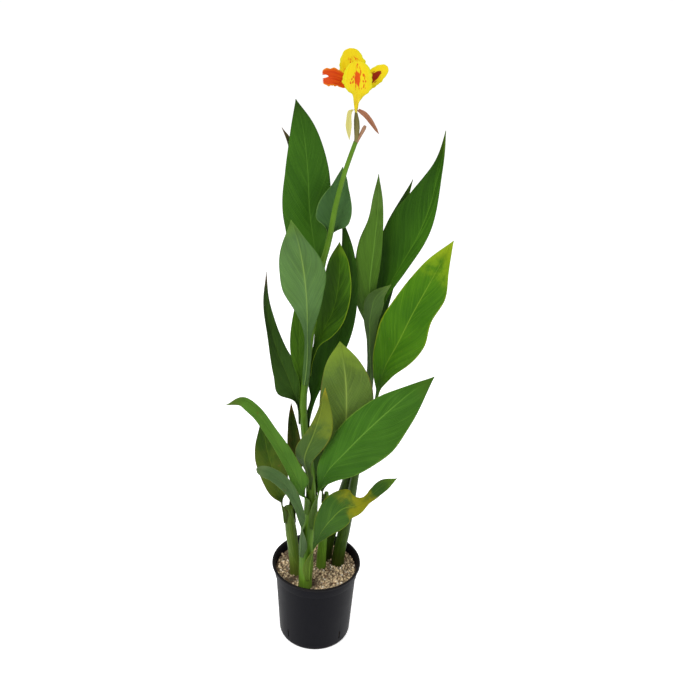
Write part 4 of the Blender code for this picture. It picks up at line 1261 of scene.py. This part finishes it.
def scatter_grains():
    """Two layers of grains over the bed: the points, corners and colours of their one mesh."""
    shape, faces = grain_shape()
    chance = np.random.default_rng(11)
    points, corners, colors = [], [], []
    for layer in range(2):
        for column in range(-24, 25):
            for row in range(-28, 29):
                x = (column + 0.5 * (row % 2) + 0.5 * layer) * GRAIN_SPACING
                x += chance.uniform(-0.4, 0.4) * GRAIN_SPACING
                y = row * GRAIN_SPACING * ROW_SHARE + chance.uniform(-0.4, 0.4) * GRAIN_SPACING
                if math.hypot(x, y) > GRAVEL_RADIUS - WALL_CLEARANCE:
                    continue
                if stem_distance(x, y, GRAVEL_TOP) < STEM_CLEARANCE:
                    continue
                bare_and_shade = bare_and_shaded(x, y)
                if layer == 1 and chance.random() < 0.25 + bare_and_shade:
                    continue
                size = GRAIN_SPACING * chance.uniform(0.38, 0.66)
                stretch = chance.uniform(0.65, 1.25, 3)
                turn = np.linalg.qr(chance.normal(size=(3, 3)))[0]
                if np.linalg.det(turn) < 0:
                    turn = turn * (1, 1, -1)
                height = GRAVEL_TOP - GRAIN_DROP + LAYER_RISE * layer + chance.uniform(-0.0008, 0.0008)
                rough = shape * chance.uniform(0.82, 1.12, (len(shape), 1))
                corners.append(faces + len(points) * len(shape))
                points.append((rough * stretch * size) @ turn.T + (x, y, height))
                color = np.array(grit_color(chance.random()))
                # Random tone, darker where the soil shows and as painted shade between the stems; the lower
                # layer is darker as painted shade in the gaps between grains.
                tone = chance.uniform(0.60, 1.75) * (1 - 0.75 * bare_and_shade) * (0.60 + 0.40 * layer)
                colors.append(np.tile((*(color * tone), 1.0), (len(shape), 1)))
    return np.vstack(points), np.vstack(corners), np.vstack(colors)


def build_filling():
    """The soil, and over it the bed and the loose grains of the grit."""
    earth = soil_finish()
    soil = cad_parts["potting_soil"]
    soil.data.materials.clear()
    soil.data.materials.append(earth)

    foot = SOIL_TOP + BED_RISE
    top = GRAVEL_TOP - BED_DROP
    middle = 0.004
    outline = [(middle, foot), (GRAVEL_RADIUS, foot), (GRAVEL_RADIUS, top), (middle, top)]
    bed = lathe("gravel_bed", outline, sides=96)
    finish_mesh(bed, angle=30)
    bed.data.materials.append(earth)
    dress(bed, "gravel_topping", "gravel_surface")

    points, corners, colors = scatter_grains()
    mesh = bpy.data.meshes.new("gravel_grains")
    mesh.from_pydata(points.tolist(), [], corners.tolist())
    tint = mesh.color_attributes.new("grain_color", "FLOAT_COLOR", "POINT")
    tint.data.foreach_set("color", colors.astype(np.float32).ravel())
    mesh.materials.append(grain_finish("grit"))
    grains = bpy.data.objects.new("gravel_grains", mesh)
    bpy.context.scene.collection.objects.link(grains)
    dress(grains, "gravel_topping", "gravel_surface")


# Stage


def build_floor():
    deselect()
    bpy.ops.mesh.primitive_plane_add(size=40.0, location=(0, 0, 0))
    floor = bpy.context.object
    floor.name = "floor"
    settle(floor)
    floor.data.materials.append(floor_finish())


def build_lights():
    """Even white light from all round, and three lamps that look at the middle of the plant."""
    world = bpy.data.worlds.new("studio")
    bpy.context.scene.world = world
    world.use_nodes = True
    glow = world.node_tree.nodes["Background"]
    glow.inputs["Color"].default_value = (1.0, 1.0, 1.0, 1.0)
    glow.inputs["Strength"].default_value = 0.55
    aim = Vector((0, 0, 0.7))
    for name, place, size, power in (
        ("key_light", (-1.6, -2.2, 3.4), 1.8, 95.0),
        ("fill_light", (2.6, -1.6, 2.0), 2.2, 22.0),
        ("top_light", (0.4, 0.8, 3.6), 2.0, 40.0),
    ):
        lamp = bpy.data.lights.new(name, "AREA")
        lamp.size = size
        lamp.energy = power
        holder = bpy.data.objects.new(name, lamp)
        holder.location = place
        holder.rotation_euler = (aim - Vector(place)).to_track_quat("-Z", "Y").to_euler()
        bpy.context.scene.collection.objects.link(holder)


def build_camera():
    eye = bpy.data.cameras.new("viewer")
    eye.lens = FOCAL_LENGTH
    eye.sensor_width = SENSOR
    eye.clip_start = 0.05
    eye.clip_end = 100
    camera = bpy.data.objects.new("viewer", eye)
    down = Matrix.Rotation(math.radians(90 - CAMERA_DOWN), 4, "X")
    roll = Matrix.Rotation(math.radians(CAMERA_ROLL), 4, "Z")
    camera.matrix_world = Matrix.Translation(CAMERA_PLACE) @ down @ roll
    bpy.context.scene.collection.objects.link(camera)
    bpy.context.scene.camera = camera
    bpy.context.scene.view_settings.view_transform = "Standard"


build_floor()
build_lights()
build_camera()
build_pot()
build_filling()
build_shoots()
build_seed_head()
build_leaves()
build_bloom()
